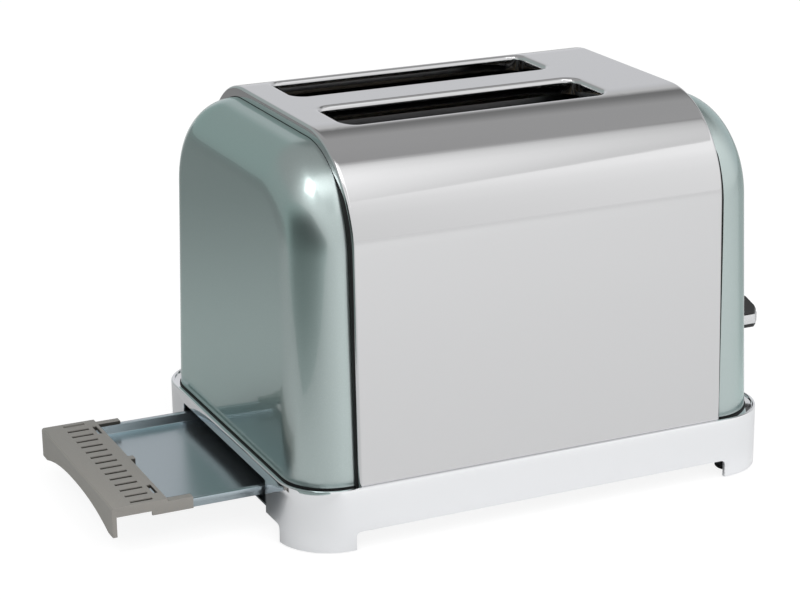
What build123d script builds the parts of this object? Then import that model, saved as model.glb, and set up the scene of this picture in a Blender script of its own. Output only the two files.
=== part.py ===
"""Two-slice toaster: a polished wrap between two domed end panels on a chrome base ring.

Frame: origin on the floor under the middle of the base, +X towards the lever end,
-Y towards the front long side, +Z up.  All sizes are in millimetres.  The lever is down
and the crumb tray is pulled out at rest.
"""
import os
from math import cos, pi, radians, sin, sqrt, tan

from build123d import *

os.makedirs("parts", exist_ok=True)

# Fits and gaps
shaft_fit = 0.06          # radial clearance of a shaft in its bush
slide_gap = 0.5           # clearance beside a sliding piece
seat_gap = 0.05           # clearance between fixed pieces that lie side by side
latch_gap = 0.3           # clearance between the armature and the magnet core

# Base ring
base_len = 256.5
base_wid = 194.4
base_corner_r = 27.0
base_wall = 2.0
ledge_z = 30.0            # height at which the wrap and the end panels stand
ledge_thick = 1.6
ledge_end_deep = 15.25    # depth of the ledge at the two ends
ledge_side_deep = 12.2    # depth of the ledge along the long sides
rim_height = 1.2          # bead along the outer edge of the ledge
rim_width = 1.7
foot_gap = 0.8            # height of the chrome feet over the floor
arch_height = 9.5
side_arch_len = 198.6
end_arch_wid = 146.0
arch_corner_r = 2.2
foot_web_z = 3.2
foot_web_thick = 2.0
pad_gap = 1.8             # between a rubber pad and the walls of its foot
boss_r = 4.0
boss_inset = 7.5          # boss centre from the long outer face
end_boss_inset = 21.8     # boss centre from the end face

# Bottom plate
floor_thick = 1.0
floor_vent_len = 46.0
floor_vent_wid = 3.0
floor_vent_count = 9
floor_vent_pitch = 13.0

# Tray opening in the left end of the base
tray_open_wid = 113.2
tray_open_top = 26.0

# Wrap
wrap_len = 193.4
wrap_rim_gap = 0.1        # between the long sides and the rim bead
wrap_top = 190.0
wrap_top_r = 50.0
wrap_lean = 1.8           # degrees that the long sides lean in
wrap_thick = 0.8
wrap_end_r = 1.6
wrap_return = 3.5         # depth of the folded end beside the panel
wrap_return_top = 5.1
wrap_foot_wid = 7.0       # inner foot flange of the long sides

# Bread slots
slot_len = 137.5
slot_wid = 36.0
slot_shift = -11.3        # slot centre along the length, nearer the tray end
slot_pitch = 60.0         # between the two slot centres
slot_corner_r = 7.0
slot_lip_r = 2.4
slot_lip_depth = 8.0

# End panels
panel_margin = 4.25       # end face of the panel from the end face of the base, at the ledge
panel_end_lean = 1.2      # degrees
panel_round = 24.0
panel_thick = 1.2
panel_gap = 0.3           # between the panel and the folded end of the wrap
panel_tuck = 3.2          # how far the panel reaches behind the folded end
panel_tab = 9.0
panel_tab_spread = 62.0

# Chassis
chassis_left_margin = 3.95    # outer face of the left plate from the end of the slots
chassis_right_margin = 4.55   # outer face of the right plate from the end of the slots
chassis_thick = 1.0
chassis_wid = 150.0
chassis_top = 176.0
chassis_foot = 9.0
shield_y = 66.0
shield_thick = 0.6
guide_plate_thick = 0.6
divider_thick = 0.5

# Heaters
card_thick = 0.8
card_low = 62.0
card_high = 170.0
card_outer_off = 26.0     # outer card from its slot centre
card_inner_off = 23.0     # inner card from its slot centre
ribbon_thick = 0.25
ribbon_high = 1.8
ribbon_runs = 10
ribbon_margin = 9.0

# Bread guides
wire_r = 0.9
guide_off = 11.0          # guide wires from the slot centre, lever down
guide_travel = 5.5
guide_low = 66.0
guide_high = 166.0
guide_wires = 8
guide_slot_gap = 0.4

# Lift carriage
lift_travel = 38.0
carriage_gap = 10.0       # carriage from the outer face of the right chassis plate
carriage_thick = 1.4
carriage_wid = 84.0
carriage_low = 50.0
carriage_high = 76.0
lifter_z = 56.0           # underside of the bread lifters, lever down
lifter_high = 7.0
lifter_thick = 1.2
lifter_finger = 14.0
lifter_fingers = 7
rod_r = 2.5
rod_off = 8.0             # guide rods from the carriage plate
rod_spread = 60.0
bush_r = 4.6
shelf_z = 54.0
shelf_thick = 1.2
shelf_margin = 3.0        # edge of the shelf beyond the armature
arm_thick = 2.4
arm_high = 9.0
bracket_low = 33.0
bracket_high = 150.0
bracket_thick = 1.5
bracket_margin = 1.0      # edge of the brackets beyond the shelf
bracket_wid = 92.0

# Lever knob
knob_len = 32.8
knob_gap = 3.2            # back of the knob from the panel, at the ledge
knob_wid = 62.0
knob_low = 50.0
knob_high = 68.5
knob_strip_low = 52.0
knob_strip_high = 57.2
knob_edge_r = 1.0
strip_thick = 1.2
lever_slot_gap = 1.6

# Latch magnet and switch
magnet_y = 13.0
magnet_off = 8.0          # magnet and spring from the guide rods
armature_half = 6.0
core_r = 4.0
coil_r = 8.5
coil_low = 36.0
coil_high = 49.0
armature_thick = 1.6

# Lift spring
spring_y = -12.0
spring_r = 3.6
spring_wire = 0.5
spring_turns = 20

# Controls
control_y = 56.0
board_deep = 20.0         # inner face of the board from the end face of the panel
board_thick = 1.6
board_wid = 50.0
board_low = 38.0
board_high = 152.0
dial_z = 62.0
dial_r = 14.0
dial_deep = 13.0
dial_shaft_r = 3.0
pot_r = 8.0
pot_deep = 7.0
button_r = 5.5
button_stand = 3.0        # how far a button stands out of the panel
button_travel = 1.5
button_low = 92.0
button_pitch = 15.0
button_count = 4
switch_side = 6.0
switch_deep = 4.0
lamp_r = 1.5
lamp_off = 11.0

# Crumb tray
tray_out = 75.0           # how far the tray is pulled out at rest
tray_wid = 109.0
tray_floor_z = 17.0
tray_thick = 0.6
tray_rim_z = 22.2
tray_rim_wid = 2.2
tray_inner_x = 58.0       # inner end of the closed tray
handle_wid = 112.0
handle_top = 25.2
handle_low = 10.6
handle_wall = 2.2
handle_deep = 27.0
handle_arm = 39.5
handle_arch_top = 17.2
vent_count = 15
vent_len = 11.0
vent_wid = 2.4
runner_thick = 1.2
runner_lip = 6.5

# Cord outlet and terminals
gland_y = 62.0
gland_z = 18.5
gland_r = 6.0
gland_bore = 3.6
screw_r = 1.5
screw_head_r = 3.0
screw_head = 1.6
screw_len = 8.0


def block(x0, x1, y0, y1, z0, z1):
    """Box between two corners."""
    centre = Pos((x0 + x1) / 2, (y0 + y1) / 2, (z0 + z1) / 2)
    return centre * Box(abs(x1 - x0), abs(y1 - y0), abs(z1 - z0))


def rod_along(axis, radius, start, end, u, v):
    """Round bar along x, y or z; u and v are its place on the other two axes in order."""
    mid = (start + end) / 2
    bar = Cylinder(radius, abs(end - start))
    if axis == "x":
        return Pos(mid, u, v) * Rot(0, 90, 0) * bar
    if axis == "y":
        return Pos(u, mid, v) * Rot(90, 0, 0) * bar
    return Pos(u, v, mid) * bar


def prism_xz(points, y0, y1):
    """Polygon in x and z, carried from y0 to y1."""
    face = Plane.XZ * make_face(Polyline(*points, close=True))
    return Pos(0, max(y0, y1), 0) * extrude(face, abs(y1 - y0))


def prism_yz(points, x0, x1):
    """Polygon in y and z, carried from x0 to x1."""
    face = Plane.YZ * make_face(Polyline(*points, close=True))
    return Pos(min(x0, x1), 0, 0) * extrude(face, abs(x1 - x0))


def rounded_plate(length, width, corner, z0, z1):
    """Flat plate with rounded corners, centred on the origin."""
    return Pos(0, 0, z0) * extrude(RectangleRounded(length, width, corner), z1 - z0)


def loaf(half, low, top, corner, lean, x0, x1):
    """Bread-loaf prism: leaning sides that run into large round top corners."""
    a = radians(lean)
    touch_z = top - corner + corner * sin(a)
    touch_y = half - tan(a) * (touch_z - low)
    mid_y = touch_y - corner * cos(a)
    bend = (a + pi / 2) / 2
    knee = (mid_y + corner * cos(bend), top - corner + corner * sin(bend))
    right = [(half, low), (touch_y, touch_z), knee, (mid_y, top)]
    left = [(-y, z) for y, z in right]
    outline = [
        Line(left[0], right[0]),
        Line(right[0], right[1]),
        ThreePointArc(right[1], right[2], right[3]),
        Line(right[3], left[3]),
        ThreePointArc(left[3], left[2], left[1]),
        Line(left[1], left[0]),
    ]
    face = Plane.YZ * make_face(outline)
    return Pos(min(x0, x1), 0, 0) * extrude(face, abs(x1 - x0))


def save(name, *solids):
    """Write one node, with one or more equal solids."""
    made = []
    for item in solids:
        made.extend(item.solids())
    shape = made[0] if len(made) == 1 else Compound(children=made)
    export_step(shape, "parts/" + name + ".step")


half_len = base_len / 2
half_wid = base_wid / 2
wrap_half_len = wrap_len / 2
wrap_half_wid = half_wid - rim_width - wrap_rim_gap
slot_x0 = slot_shift - slot_len / 2
slot_x1 = slot_shift + slot_len / 2
panel_reach = half_len - panel_margin
chassis_left = slot_x0 - chassis_left_margin
chassis_right = slot_x1 + chassis_right_margin
carriage_x = chassis_right + carriage_gap
rod_x = carriage_x + rod_off
magnet_x = rod_x + magnet_off
spring_x = magnet_x
shelf_reach = magnet_x + armature_half + shelf_margin
bracket_reach = shelf_reach + bracket_margin
board_x = panel_reach - board_deep
knob_back = panel_reach + knob_gap
knob_nose = knob_back + knob_len
slot_ys = (-slot_pitch / 2, slot_pitch / 2)

# BASE RING
# Hollow ring with a ledge, a rim bead, low arches and the tray opening.
rim_top = ledge_z + rim_height
ring = rounded_plate(base_len, base_wid, base_corner_r, foot_gap, rim_top)
foot_edges = ring.edges().filter_by_position(Axis.Z, rim_top - 0.01, rim_top + 0.01)
ring = fillet(foot_edges, rim_width * 0.35)
inner_len = base_len - 2 * base_wall
inner_wid = base_wid - 2 * base_wall
inner_r = base_corner_r - base_wall
ring -= rounded_plate(inner_len, inner_wid, inner_r, 0, ledge_z - ledge_thick)
ring -= rounded_plate(base_len - 2 * rim_width, base_wid - 2 * rim_width,
                      base_corner_r - rim_width, ledge_z, rim_top + 1)
ring -= rounded_plate(base_len - 2 * ledge_end_deep, base_wid - 2 * ledge_side_deep,
                      base_corner_r / 2, 0, rim_top)


def arch(length, high, depth, along_y):
    """Cutter for a low arch with rounded upper corners."""
    tall = high + 20
    flat = Pos(0, high - tall / 2) * RectangleRounded(length, tall, arch_corner_r)
    plane = Plane.YZ if along_y else Plane.XZ
    return extrude(plane * flat, depth / 2, both=True)


web_zone = rounded_plate(inner_len, inner_wid, inner_r, foot_web_z, foot_web_z + foot_web_thick)
web_zone -= block(-side_arch_len / 2, side_arch_len / 2, -half_wid, half_wid, 0, ledge_z)
web_zone -= block(-half_len, half_len, -end_arch_wid / 2, end_arch_wid / 2, 0, ledge_z)
return_zone = rounded_plate(inner_len, inner_wid, inner_r, foot_gap, arch_height)
return_zone -= block(-side_arch_len / 2, side_arch_len / 2, -half_wid, half_wid, 0, ledge_z)
return_zone -= block(-half_len, half_len, -end_arch_wid / 2, end_arch_wid / 2, 0, ledge_z)
foot_cut_len = side_arch_len / 2 + base_wall
foot_cut_wid = end_arch_wid / 2 + base_wall
for sx in (-1, 1):
    for sy in (-1, 1):
        return_zone -= block(sx * foot_cut_len, sx * half_len, sy * foot_cut_wid, sy * half_wid,
                             0, ledge_z)
ring -= arch(side_arch_len, arch_height, base_wid * 2, False)
ring -= arch(end_arch_wid, arch_height, base_len * 2, True)
ring -= block(-half_len - 1, -half_len + base_wall + 6, -tray_open_wid / 2, tray_open_wid / 2,
              0, tray_open_top)
boss_spots = [(sx * (half_len - end_boss_inset), sy * (half_wid - boss_inset))
              for sx in (-1, 1) for sy in (-1, 1)]
boss_spots += [(0, sy * (half_wid - boss_inset)) for sy in (-1, 1)]
floor_top = arch_height + seat_gap + floor_thick
ring += web_zone + return_zone
for bx, by in boss_spots:
    ring += rod_along("z", boss_r, floor_top, ledge_z - ledge_thick + 0.4, bx, by)
    ring -= rod_along("z", screw_r, floor_top - 1, floor_top + screw_len, bx, by)
# Each pad lies in the largest circle that fits between its foot's two returns and the corner.
arc_off_x = foot_cut_len - (inner_len / 2 - inner_r)
arc_off_y = foot_cut_wid - (inner_wid / 2 - inner_r)
arc_sum = arc_off_x + arc_off_y + inner_r
foot_circle_r = sqrt(arc_sum ** 2 - arc_off_x ** 2 - arc_off_y ** 2 + inner_r ** 2) - arc_sum
pad_r = foot_circle_r - pad_gap
pad_spots = [(sx * (foot_cut_len + foot_circle_r), sy * (foot_cut_wid + foot_circle_r))
             for sx in (-1, 1) for sy in (-1, 1)]
tab_spots = [(sx * (panel_reach - panel_thick - panel_tab / 2 - 1), sy * panel_tab_spread)
             for sx in (-1, 1) for sy in (-1, 1)]
for tx, ty in tab_spots:
    ring += block(tx - panel_tab, tx + panel_tab / 2 + 2, ty - panel_tab, ty + panel_tab,
                  ledge_z - ledge_thick, ledge_z)
    ring -= rod_along("z", screw_r, ledge_z - 4, ledge_z + 1, tx, ty)
ring -= rod_along("x", gland_r + seat_gap, half_len - 8, half_len + 2, gland_y, gland_z)
for px, py in pad_spots:
    ring -= rod_along("z", screw_r, foot_web_z - 1, foot_web_z + 4, px, py)
save("base_ring", ring)

# FOOT PADS
# Rubber discs with a stud pressed into the foot webs.
pads = []
for px, py in pad_spots:
    pad = rod_along("z", pad_r, 0, foot_web_z - seat_gap, px, py)
    pad = chamfer(pad.edges().group_by(Axis.Z)[0], 0.5)
    pad += rod_along("z", screw_r - shaft_fit, 1, foot_web_z + foot_web_thick + 1, px, py)
    pads.append(pad)
save("foot_pads", *pads)

# BOTTOM PLATE
# Steel floor under the chassis, screwed up into the bosses.
floor_low = arch_height + seat_gap
floor = rounded_plate(inner_len - 2 * slide_gap, inner_wid - 2 * slide_gap, inner_r - slide_gap,
                      floor_low, floor_top - seat_gap)
handle_zone = -half_len + handle_wall + slide_gap
floor -= block(-half_len, handle_zone, -tray_open_wid / 2, tray_open_wid / 2, 0, ledge_z)
for i in range(floor_vent_count):
    vx = (i - (floor_vent_count - 1) / 2) * floor_vent_pitch - 20
    for sy in (-1, 1):
        floor -= block(vx - floor_vent_wid / 2, vx + floor_vent_wid / 2,
                       sy * 4, sy * (4 + floor_vent_len), 0, ledge_z)
for bx, by in boss_spots:
    floor -= rod_along("z", screw_r + 0.2, 0, ledge_z, bx, by)
pass_half = tray_wid / 2 + runner_thick + 4
chassis_spots = [(x_out - way * chassis_foot * 0.55, sy * (pass_half + 6))
                 for x_out, way in ((chassis_left, 1), (chassis_right, -1)) for sy in (-1, 1)]
for cx, cy in chassis_spots:
    floor -= rod_along("z", screw_r + 0.2, 0, ledge_z, cx, cy)
save("bottom_plate", floor)


def screw(x, y, head_z, length, way=1):
    """Pan-head screw along z; its head lies on the low side when way is 1."""
    head = rod_along("z", screw_head_r, head_z - way * screw_head, head_z, x, y)
    head = chamfer(head.edges().group_by(Axis.Z)[0 if way > 0 else -1], 0.4)
    shank = rod_along("z", screw_r - shaft_fit, head_z - way * 0.2, head_z + way * length, x, y)
    return head + shank


# SCREWS UNDER THE BASE
save("bottom_screws", *[screw(bx, by, floor_low - seat_gap, screw_len) for bx, by in boss_spots])
save("panel_screws", *[screw(tx, ty, ledge_z - ledge_thick - seat_gap, 4.0)
                       for tx, ty in tab_spots])

# WRAP
# One sheet over both long sides and the top, folded in at the ends and rolled down at the slots.


def wrap_body(inset, x_half, slot_grow, lip_r):
    """Solid loaf with both slots cut through and their upper edges rounded."""
    body = loaf(wrap_half_wid - inset, ledge_z, wrap_top - inset, wrap_top_r - inset, wrap_lean,
                -x_half, x_half)
    for y in slot_ys:
        cut = RectangleRounded(slot_len + 2 * slot_grow, slot_wid + 2 * slot_grow,
                               slot_corner_r + slot_grow)
        body -= Pos(slot_shift, y, 0) * extrude(cut, wrap_top + 10)
    reach_x = slot_len / 2 + slot_grow + 0.5
    reach_y = slot_pitch / 2 + slot_wid / 2 + slot_grow + 0.5
    lip = [e for e in body.edges()
           if e.center().Z > wrap_top - inset - 1.5 and abs(e.center().X - slot_shift) < reach_x
           and abs(e.center().Y) < reach_y
           and e.bounding_box().size.X < slot_len + 2 and e.bounding_box().size.Z < 1.5]
    lip = [e for e in lip if e.bounding_box().max.X < slot_shift + reach_x
           and e.bounding_box().min.X > slot_shift - reach_x]
    return fillet(lip, lip_r)


outer_skin = wrap_body(0, wrap_half_len, 0, slot_lip_r)
end_edges = [e for e in outer_skin.edges()
             if abs(abs(e.center().X) - wrap_half_len) < 0.01 and e.center().Z > ledge_z + 1]
outer_skin = fillet(end_edges, wrap_end_r)
inner_skin = wrap_body(wrap_thick, wrap_half_len - wrap_thick, wrap_thick,
                       slot_lip_r - wrap_thick)
shell = outer_skin - inner_skin
end_open_half = wrap_half_wid - wrap_return
end_open_top = wrap_top - wrap_return_top
end_open_r = wrap_top_r - wrap_return
shell -= loaf(end_open_half, ledge_z - 1, end_open_top, end_open_r, wrap_lean,
              -wrap_half_len - 1, wrap_half_len + 1) & (
    block(-wrap_half_len - 2, -wrap_half_len + wrap_thick + 0.01, -200, 200, 0, 300)
    + block(wrap_half_len - wrap_thick - 0.01, wrap_half_len + 2, -200, 200, 0, 300))
core_half = slot_pitch / 2 + slot_wid / 2 + wrap_thick + 1
shell -= block(slot_x0 - 5, slot_x1 + 5, -core_half, core_half, ledge_z - 1,
               wrap_top - slot_lip_depth)
shell -= block(-wrap_half_len + wrap_thick, wrap_half_len - wrap_thick,
               -wrap_half_wid + 12, wrap_half_wid - 12, ledge_z - 1, ledge_z + 3)
for sy in (-1, 1):
    y_out = wrap_half_wid - wrap_thick / 2
    shell += block(-wrap_half_len * 0.8, wrap_half_len * 0.8, sy * y_out,
                   sy * (wrap_half_wid - wrap_foot_wid), ledge_z, ledge_z + wrap_thick)
save("wrap_shell", shell)

# END PANELS
# Domed steel shells, tucked behind the folded ends of the wrap.
panel_half = end_open_half - panel_gap
panel_top = end_open_top - panel_gap
panel_corner = end_open_r - panel_gap
end_slope = tan(radians(panel_end_lean))


def panel_end_x(z):
    """Distance of the panel's end face from the middle at a height."""
    return panel_reach - end_slope * (z - ledge_z)


panel_fit_r = min(panel_round, panel_end_x(wrap_top) - wrap_half_len + panel_tuck - panel_thick)


def panel_solid(inset):
    """Dome of the right panel, moved in by the inset on every outer face."""
    x_in = wrap_half_len - panel_tuck
    low = ledge_z if inset == 0 else ledge_z - 1
    body = loaf(panel_half - inset, low, panel_top - inset, panel_corner - inset, wrap_lean,
                x_in, panel_reach + 5)
    high = wrap_top + 10
    keep = prism_xz([(x_in - 1, low - 1), (panel_end_x(low - 1) - inset, low - 1),
                     (panel_end_x(high) - inset, high), (x_in - 1, high)],
                    -wrap_half_wid, wrap_half_wid)
    body = body & keep
    face_x = panel_end_x((ledge_z + wrap_top) / 2) - inset
    outline = [e for e in body.edges()
               if abs(e.center().X - face_x) < 4 and e.center().Z > low + 2]
    return fillet(outline, panel_fit_r - inset)


panel_shell = panel_solid(0) - panel_solid(panel_thick)
panel_shell -= block(0, wrap_half_len - panel_tuck + 0.01, -200, 200, 0, 300)
tab_y = panel_tab / 2
for sy in (-1, 1):
    tx = panel_reach - panel_thick - panel_tab / 2 - 1
    ty = sy * panel_tab_spread
    panel_shell += block(tx - panel_tab / 2, panel_reach - panel_thick / 2, ty - tab_y, ty + tab_y,
                         ledge_z, ledge_z + panel_thick)
    panel_shell -= rod_along("z", screw_r, ledge_z - 1, ledge_z + 3, tx, ty)
save("left_end_panel", mirror(panel_shell, Plane.YZ))

right_panel = panel_shell
arm_mid_z = shelf_z + shelf_thick + arm_high / 2
slot_half = arm_thick / 2 + lever_slot_gap
right_panel -= block(panel_reach - 20, panel_reach + 5, -slot_half, slot_half,
                     arm_mid_z - arm_high / 2 - lever_slot_gap,
                     arm_mid_z + arm_high / 2 + lift_travel + lever_slot_gap)
button_zs = [button_low + i * button_pitch for i in range(button_count)]
for bz in button_zs:
    right_panel -= rod_along("x", button_r + 0.4, panel_reach - 20, panel_reach + 5,
                             control_y, bz)
    right_panel -= rod_along("x", lamp_r + seat_gap, panel_reach - 20, panel_reach + 5,
                             control_y - lamp_off, bz)
right_panel -= rod_along("x", dial_shaft_r + 1, panel_reach - 20, panel_reach + 5,
                         control_y, dial_z)
save("right_end_panel", right_panel)

# CHASSIS PLATES
# Two upright steel plates that carry the heaters, the guides and the lifters.
foot_z = floor_top
rail_zs = (guide_low, guide_high)
lifter_slot_half = lifter_thick / 2 + guide_slot_gap


def chassis(x_out, inward):
    """Upright plate with a bent foot; inward is the direction of the toasting chamber."""
    x_in = x_out + inward * chassis_thick
    plate = block(x_out, x_in, -chassis_wid / 2, chassis_wid / 2, foot_z, chassis_top)
    for sy in (-1, 1):
        foot = block(x_out, x_out - inward * chassis_foot, sy * (pass_half + 1),
                     sy * chassis_wid / 2, foot_z, foot_z + chassis_thick)
        foot -= rod_along("z", screw_r, 0, 30, x_out - inward * chassis_foot * 0.55,
                          sy * (pass_half + 6))
        plate += foot
    cut_x0 = min(x_out, x_in) - 0.5
    cut_x1 = max(x_out, x_in) + 0.5
    for y in slot_ys:
        plate -= block(cut_x0, cut_x1, y - lifter_slot_half, y + lifter_slot_half,
                       lifter_z - guide_slot_gap,
                       lifter_z + lifter_high + lift_travel + guide_slot_gap)
        for sy in (-1, 1):
            near = y + sy * (guide_off - wire_r - guide_slot_gap)
            far = y + sy * (guide_off + guide_travel + wire_r + guide_slot_gap)
            for z in rail_zs:
                plate -= block(cut_x0, cut_x1, near, far, z - wire_r - guide_slot_gap,
                               z + wire_r + guide_slot_gap)
    return plate


left_plate = chassis(chassis_left, 1)
left_plate -= block(chassis_left - 1, chassis_left + 2, -pass_half, pass_half, 0,
                    tray_open_top + 2)
save("left_chassis_plate", left_plate)
right_plate = chassis(chassis_right, -1)
save("right_chassis_plate", right_plate)
chamber_x0 = chassis_left + chassis_thick + seat_gap
chamber_x1 = chassis_right - chassis_thick - seat_gap

# HEAT SHIELDS, REFLECTOR AND TOP GUIDE PLATE
for name, side in (("front_heat_shield", -1), ("rear_heat_shield", 1)):
    sheet = block(chamber_x0, chamber_x1, side * shield_y, side * (shield_y + shield_thick),
                  foot_z + seat_gap, chassis_top)
    for k in range(5):
        vx = slot_shift + (k - 2) * slot_len / 5
        sheet -= block(vx - 9, vx + 9, -200, 200, foot_z + 8, foot_z + 14)
    save(name, sheet)
divider = block(chamber_x0, chamber_x1, -divider_thick / 2, divider_thick / 2, card_low,
                chassis_top - seat_gap)
save("centre_reflector", divider)
top_plate = block(chassis_left - 4, chassis_right + 4, -shield_y - 4, shield_y + 4,
                  chassis_top + seat_gap, chassis_top + seat_gap + guide_plate_thick)
for y in slot_ys:
    hole = RectangleRounded(slot_len + 2 * wrap_thick, slot_wid + 2 * wrap_thick,
                            slot_corner_r + wrap_thick)
    top_plate -= Pos(slot_shift, y, 0) * extrude(hole, wrap_top)
save("top_guide_plate", top_plate)

# HEATER CARDS AND RIBBONS
# Mica cards, each with one long ribbon zigzagging over the face towards the bread.
cards = []
for label, y in (("front", slot_ys[0]), ("rear", slot_ys[1])):
    outer_way = 1 if y > 0 else -1
    cards.append((label + "_outer", y + outer_way * card_outer_off, -outer_way))
    cards.append((label + "_inner", y - outer_way * card_inner_off, outer_way))
card_x0 = chamber_x0 + seat_gap
card_x1 = chamber_x1 - seat_gap
for label, y, face_way in cards:
    card = block(card_x0, card_x1, y - card_thick / 2, y + card_thick / 2, card_low, card_high)
    save(label + "_heater_card", card)
    near = y + face_way * (card_thick / 2 + seat_gap)
    far = near + face_way * ribbon_thick
    run_x0 = card_x0 + ribbon_margin
    run_x1 = card_x1 - ribbon_margin
    step = (card_high - card_low - 2 * ribbon_margin) / (ribbon_runs - 1)
    ribbon = None
    for i in range(ribbon_runs):
        z = card_low + ribbon_margin + i * step
        strip = block(run_x0, run_x1, near, far, z - ribbon_high / 2, z + ribbon_high / 2)
        if i + 1 < ribbon_runs:
            end_x = run_x1 if i % 2 == 0 else run_x0 + ribbon_high
            strip += block(end_x - ribbon_high, end_x, near, far, z, z + step)
        ribbon = strip if ribbon is None else ribbon + strip
    save(label + "_heater_ribbon", ribbon)

# BREAD GUIDES
# Wire grids whose long rails run in the side slots of the chassis plates.
wire_x0 = slot_x0 + 6
wire_x1 = slot_x1 - 6
for label, y, way in (("front_slot_front", slot_ys[0], -1), ("front_slot_rear", slot_ys[0], 1),
                      ("rear_slot_front", slot_ys[1], -1), ("rear_slot_rear", slot_ys[1], 1)):
    gy = y + way * guide_off
    grid = None
    for z in rail_zs:
        rail = rod_along("x", wire_r, chassis_left - 3, chassis_right + 3, gy, z)
        grid = rail if grid is None else grid + rail
    for i in range(guide_wires):
        gx = wire_x0 + i * (wire_x1 - wire_x0) / (guide_wires - 1)
        grid += rod_along("z", wire_r * 0.9, guide_low, guide_high, gx, gy)
    save(label + "_guide", grid)

# BREAD LIFTERS
finger_wid = 1.6
for label, y in (("front", slot_ys[0]), ("rear", slot_ys[1])):
    bar = block(chassis_left - 3, carriage_x - seat_gap, y - lifter_thick / 2,
                y + lifter_thick / 2, lifter_z, lifter_z + lifter_high)
    for i in range(lifter_fingers):
        fx = wire_x0 + (i + 0.5) * (wire_x1 - wire_x0) / lifter_fingers
        bar += block(fx - finger_wid / 2, fx + finger_wid / 2, y - lifter_finger / 2,
                     y + lifter_finger / 2, lifter_z + lifter_high - lifter_thick,
                     lifter_z + lifter_high)
    save(label + "_bread_lifter", bar)

# LIFT CARRIAGE
# Pressed plate with two bushes on the guide rods and a shelf for the arm and the armature.
carriage_x1 = carriage_x + carriage_thick
rod_ys = (-rod_spread / 2, rod_spread / 2)
carriage = block(carriage_x, carriage_x1, -carriage_wid / 2, carriage_wid / 2,
                 carriage_low, carriage_high)
carriage += block(carriage_x1 - 0.01, shelf_reach, spring_y - 6, magnet_y + 8,
                  shelf_z, shelf_z + shelf_thick)
for y in rod_ys:
    carriage += block(carriage_x1 - 0.01, rod_x, y - 3, y + 3, carriage_low, carriage_high)
    carriage += rod_along("z", bush_r, carriage_low, carriage_high, rod_x, y)
for y in rod_ys:
    carriage -= rod_along("z", rod_r + shaft_fit, carriage_low - 1, carriage_high + 1, rod_x, y)
save("carriage_plate", carriage)
arm_low = shelf_z + shelf_thick + seat_gap
knob_pocket = 16.0
arm = block(carriage_x1 + seat_gap, knob_back + knob_pocket - 0.5, -arm_thick / 2, arm_thick / 2,
            arm_low, arm_low + arm_high)
save("lever_arm", arm)
armature = block(magnet_x - armature_half, magnet_x + armature_half,
                 magnet_y - armature_half, magnet_y + armature_half,
                 shelf_z - armature_thick - seat_gap, shelf_z - seat_gap)
save("latch_armature", armature)

# GUIDE RODS AND BRACKETS
bracket_x0 = chassis_right + seat_gap
lower = block(bracket_x0, bracket_reach, -bracket_wid / 2, bracket_wid / 2,
              bracket_low, bracket_low + bracket_thick)
lower += block(bracket_x0, bracket_x0 + bracket_thick, -bracket_wid / 2, bracket_wid / 2,
               bracket_low - chassis_foot, bracket_low + 0.1)
upper_top = bracket_high + bracket_thick
upper = block(bracket_x0, bracket_reach, -bracket_wid / 2, bracket_wid / 2,
              bracket_high, upper_top)
upper += block(bracket_x0, bracket_x0 + bracket_thick, -bracket_wid / 2, bracket_wid / 2,
               upper_top - 0.1, upper_top + chassis_foot)
for y in rod_ys:
    upper -= rod_along("z", rod_r + seat_gap, bracket_high - 1, upper_top + 1, rod_x, y)
    lower -= rod_along("z", rod_r + seat_gap, bracket_low - 1, bracket_low + 3, rod_x, y)
save("lower_bracket", lower)
save("upper_bracket", upper)
save("guide_rods", *[rod_along("z", rod_r, bracket_low, upper_top, rod_x, y) for y in rod_ys])

# LATCH MAGNET
magnet_seat = bracket_low + bracket_thick + seat_gap
core_top = shelf_z - armature_thick - seat_gap - latch_gap
save("magnet_core", rod_along("z", core_r, magnet_seat, core_top, magnet_x, magnet_y))
coil = rod_along("z", coil_r, coil_low, coil_high, magnet_x, magnet_y)
coil -= rod_along("z", core_r + seat_gap, coil_low - 1, coil_high + 1, magnet_x, magnet_y)
save("magnet_coil", coil)

# MAINS SWITCH
switch_body = block(bracket_reach - 12, bracket_reach, -bracket_wid / 2 + 2, spring_y - 16,
                    magnet_seat, coil_high)
switch_body = chamfer(switch_body.edges().filter_by(Axis.Z), 1.0)
save("mains_switch", switch_body)

# LIFT SPRING
# Extension spring between the carriage shelf and the upper bracket, stretched while latched.
spring_low = shelf_z + shelf_thick + spring_wire + seat_gap
spring_high = bracket_high - spring_wire - seat_gap
coil_path = Helix(pitch=(spring_high - spring_low) / spring_turns,
                  height=spring_high - spring_low, radius=spring_r - spring_wire)
wire_face = Plane(origin=coil_path @ 0, z_dir=coil_path % 0) * Circle(spring_wire)
spring = Pos(spring_x, spring_y, spring_low) * sweep(wire_face, path=coil_path)
save("lift_spring", spring)

# LEVER KNOB
# Wedge with a bright band let into its nose and sides.
knob_half = knob_wid / 2
nose_z = knob_strip_high + 1.6


def knob_prism(grow, z0, z1):
    """Plan shape of the knob, grown outwards by an amount."""
    x0 = knob_back
    x1 = knob_nose + grow
    plan = [(x0, -knob_half - grow), (x1 - 3, -knob_half - grow), (x1, -knob_half + 3 - grow),
            (x1, knob_half - 3 + grow), (x1 - 3, knob_half + grow), (x0, knob_half + grow)]
    return Pos(0, 0, z0) * extrude(make_face(Polyline(*plan, close=True)), z1 - z0)


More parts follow.
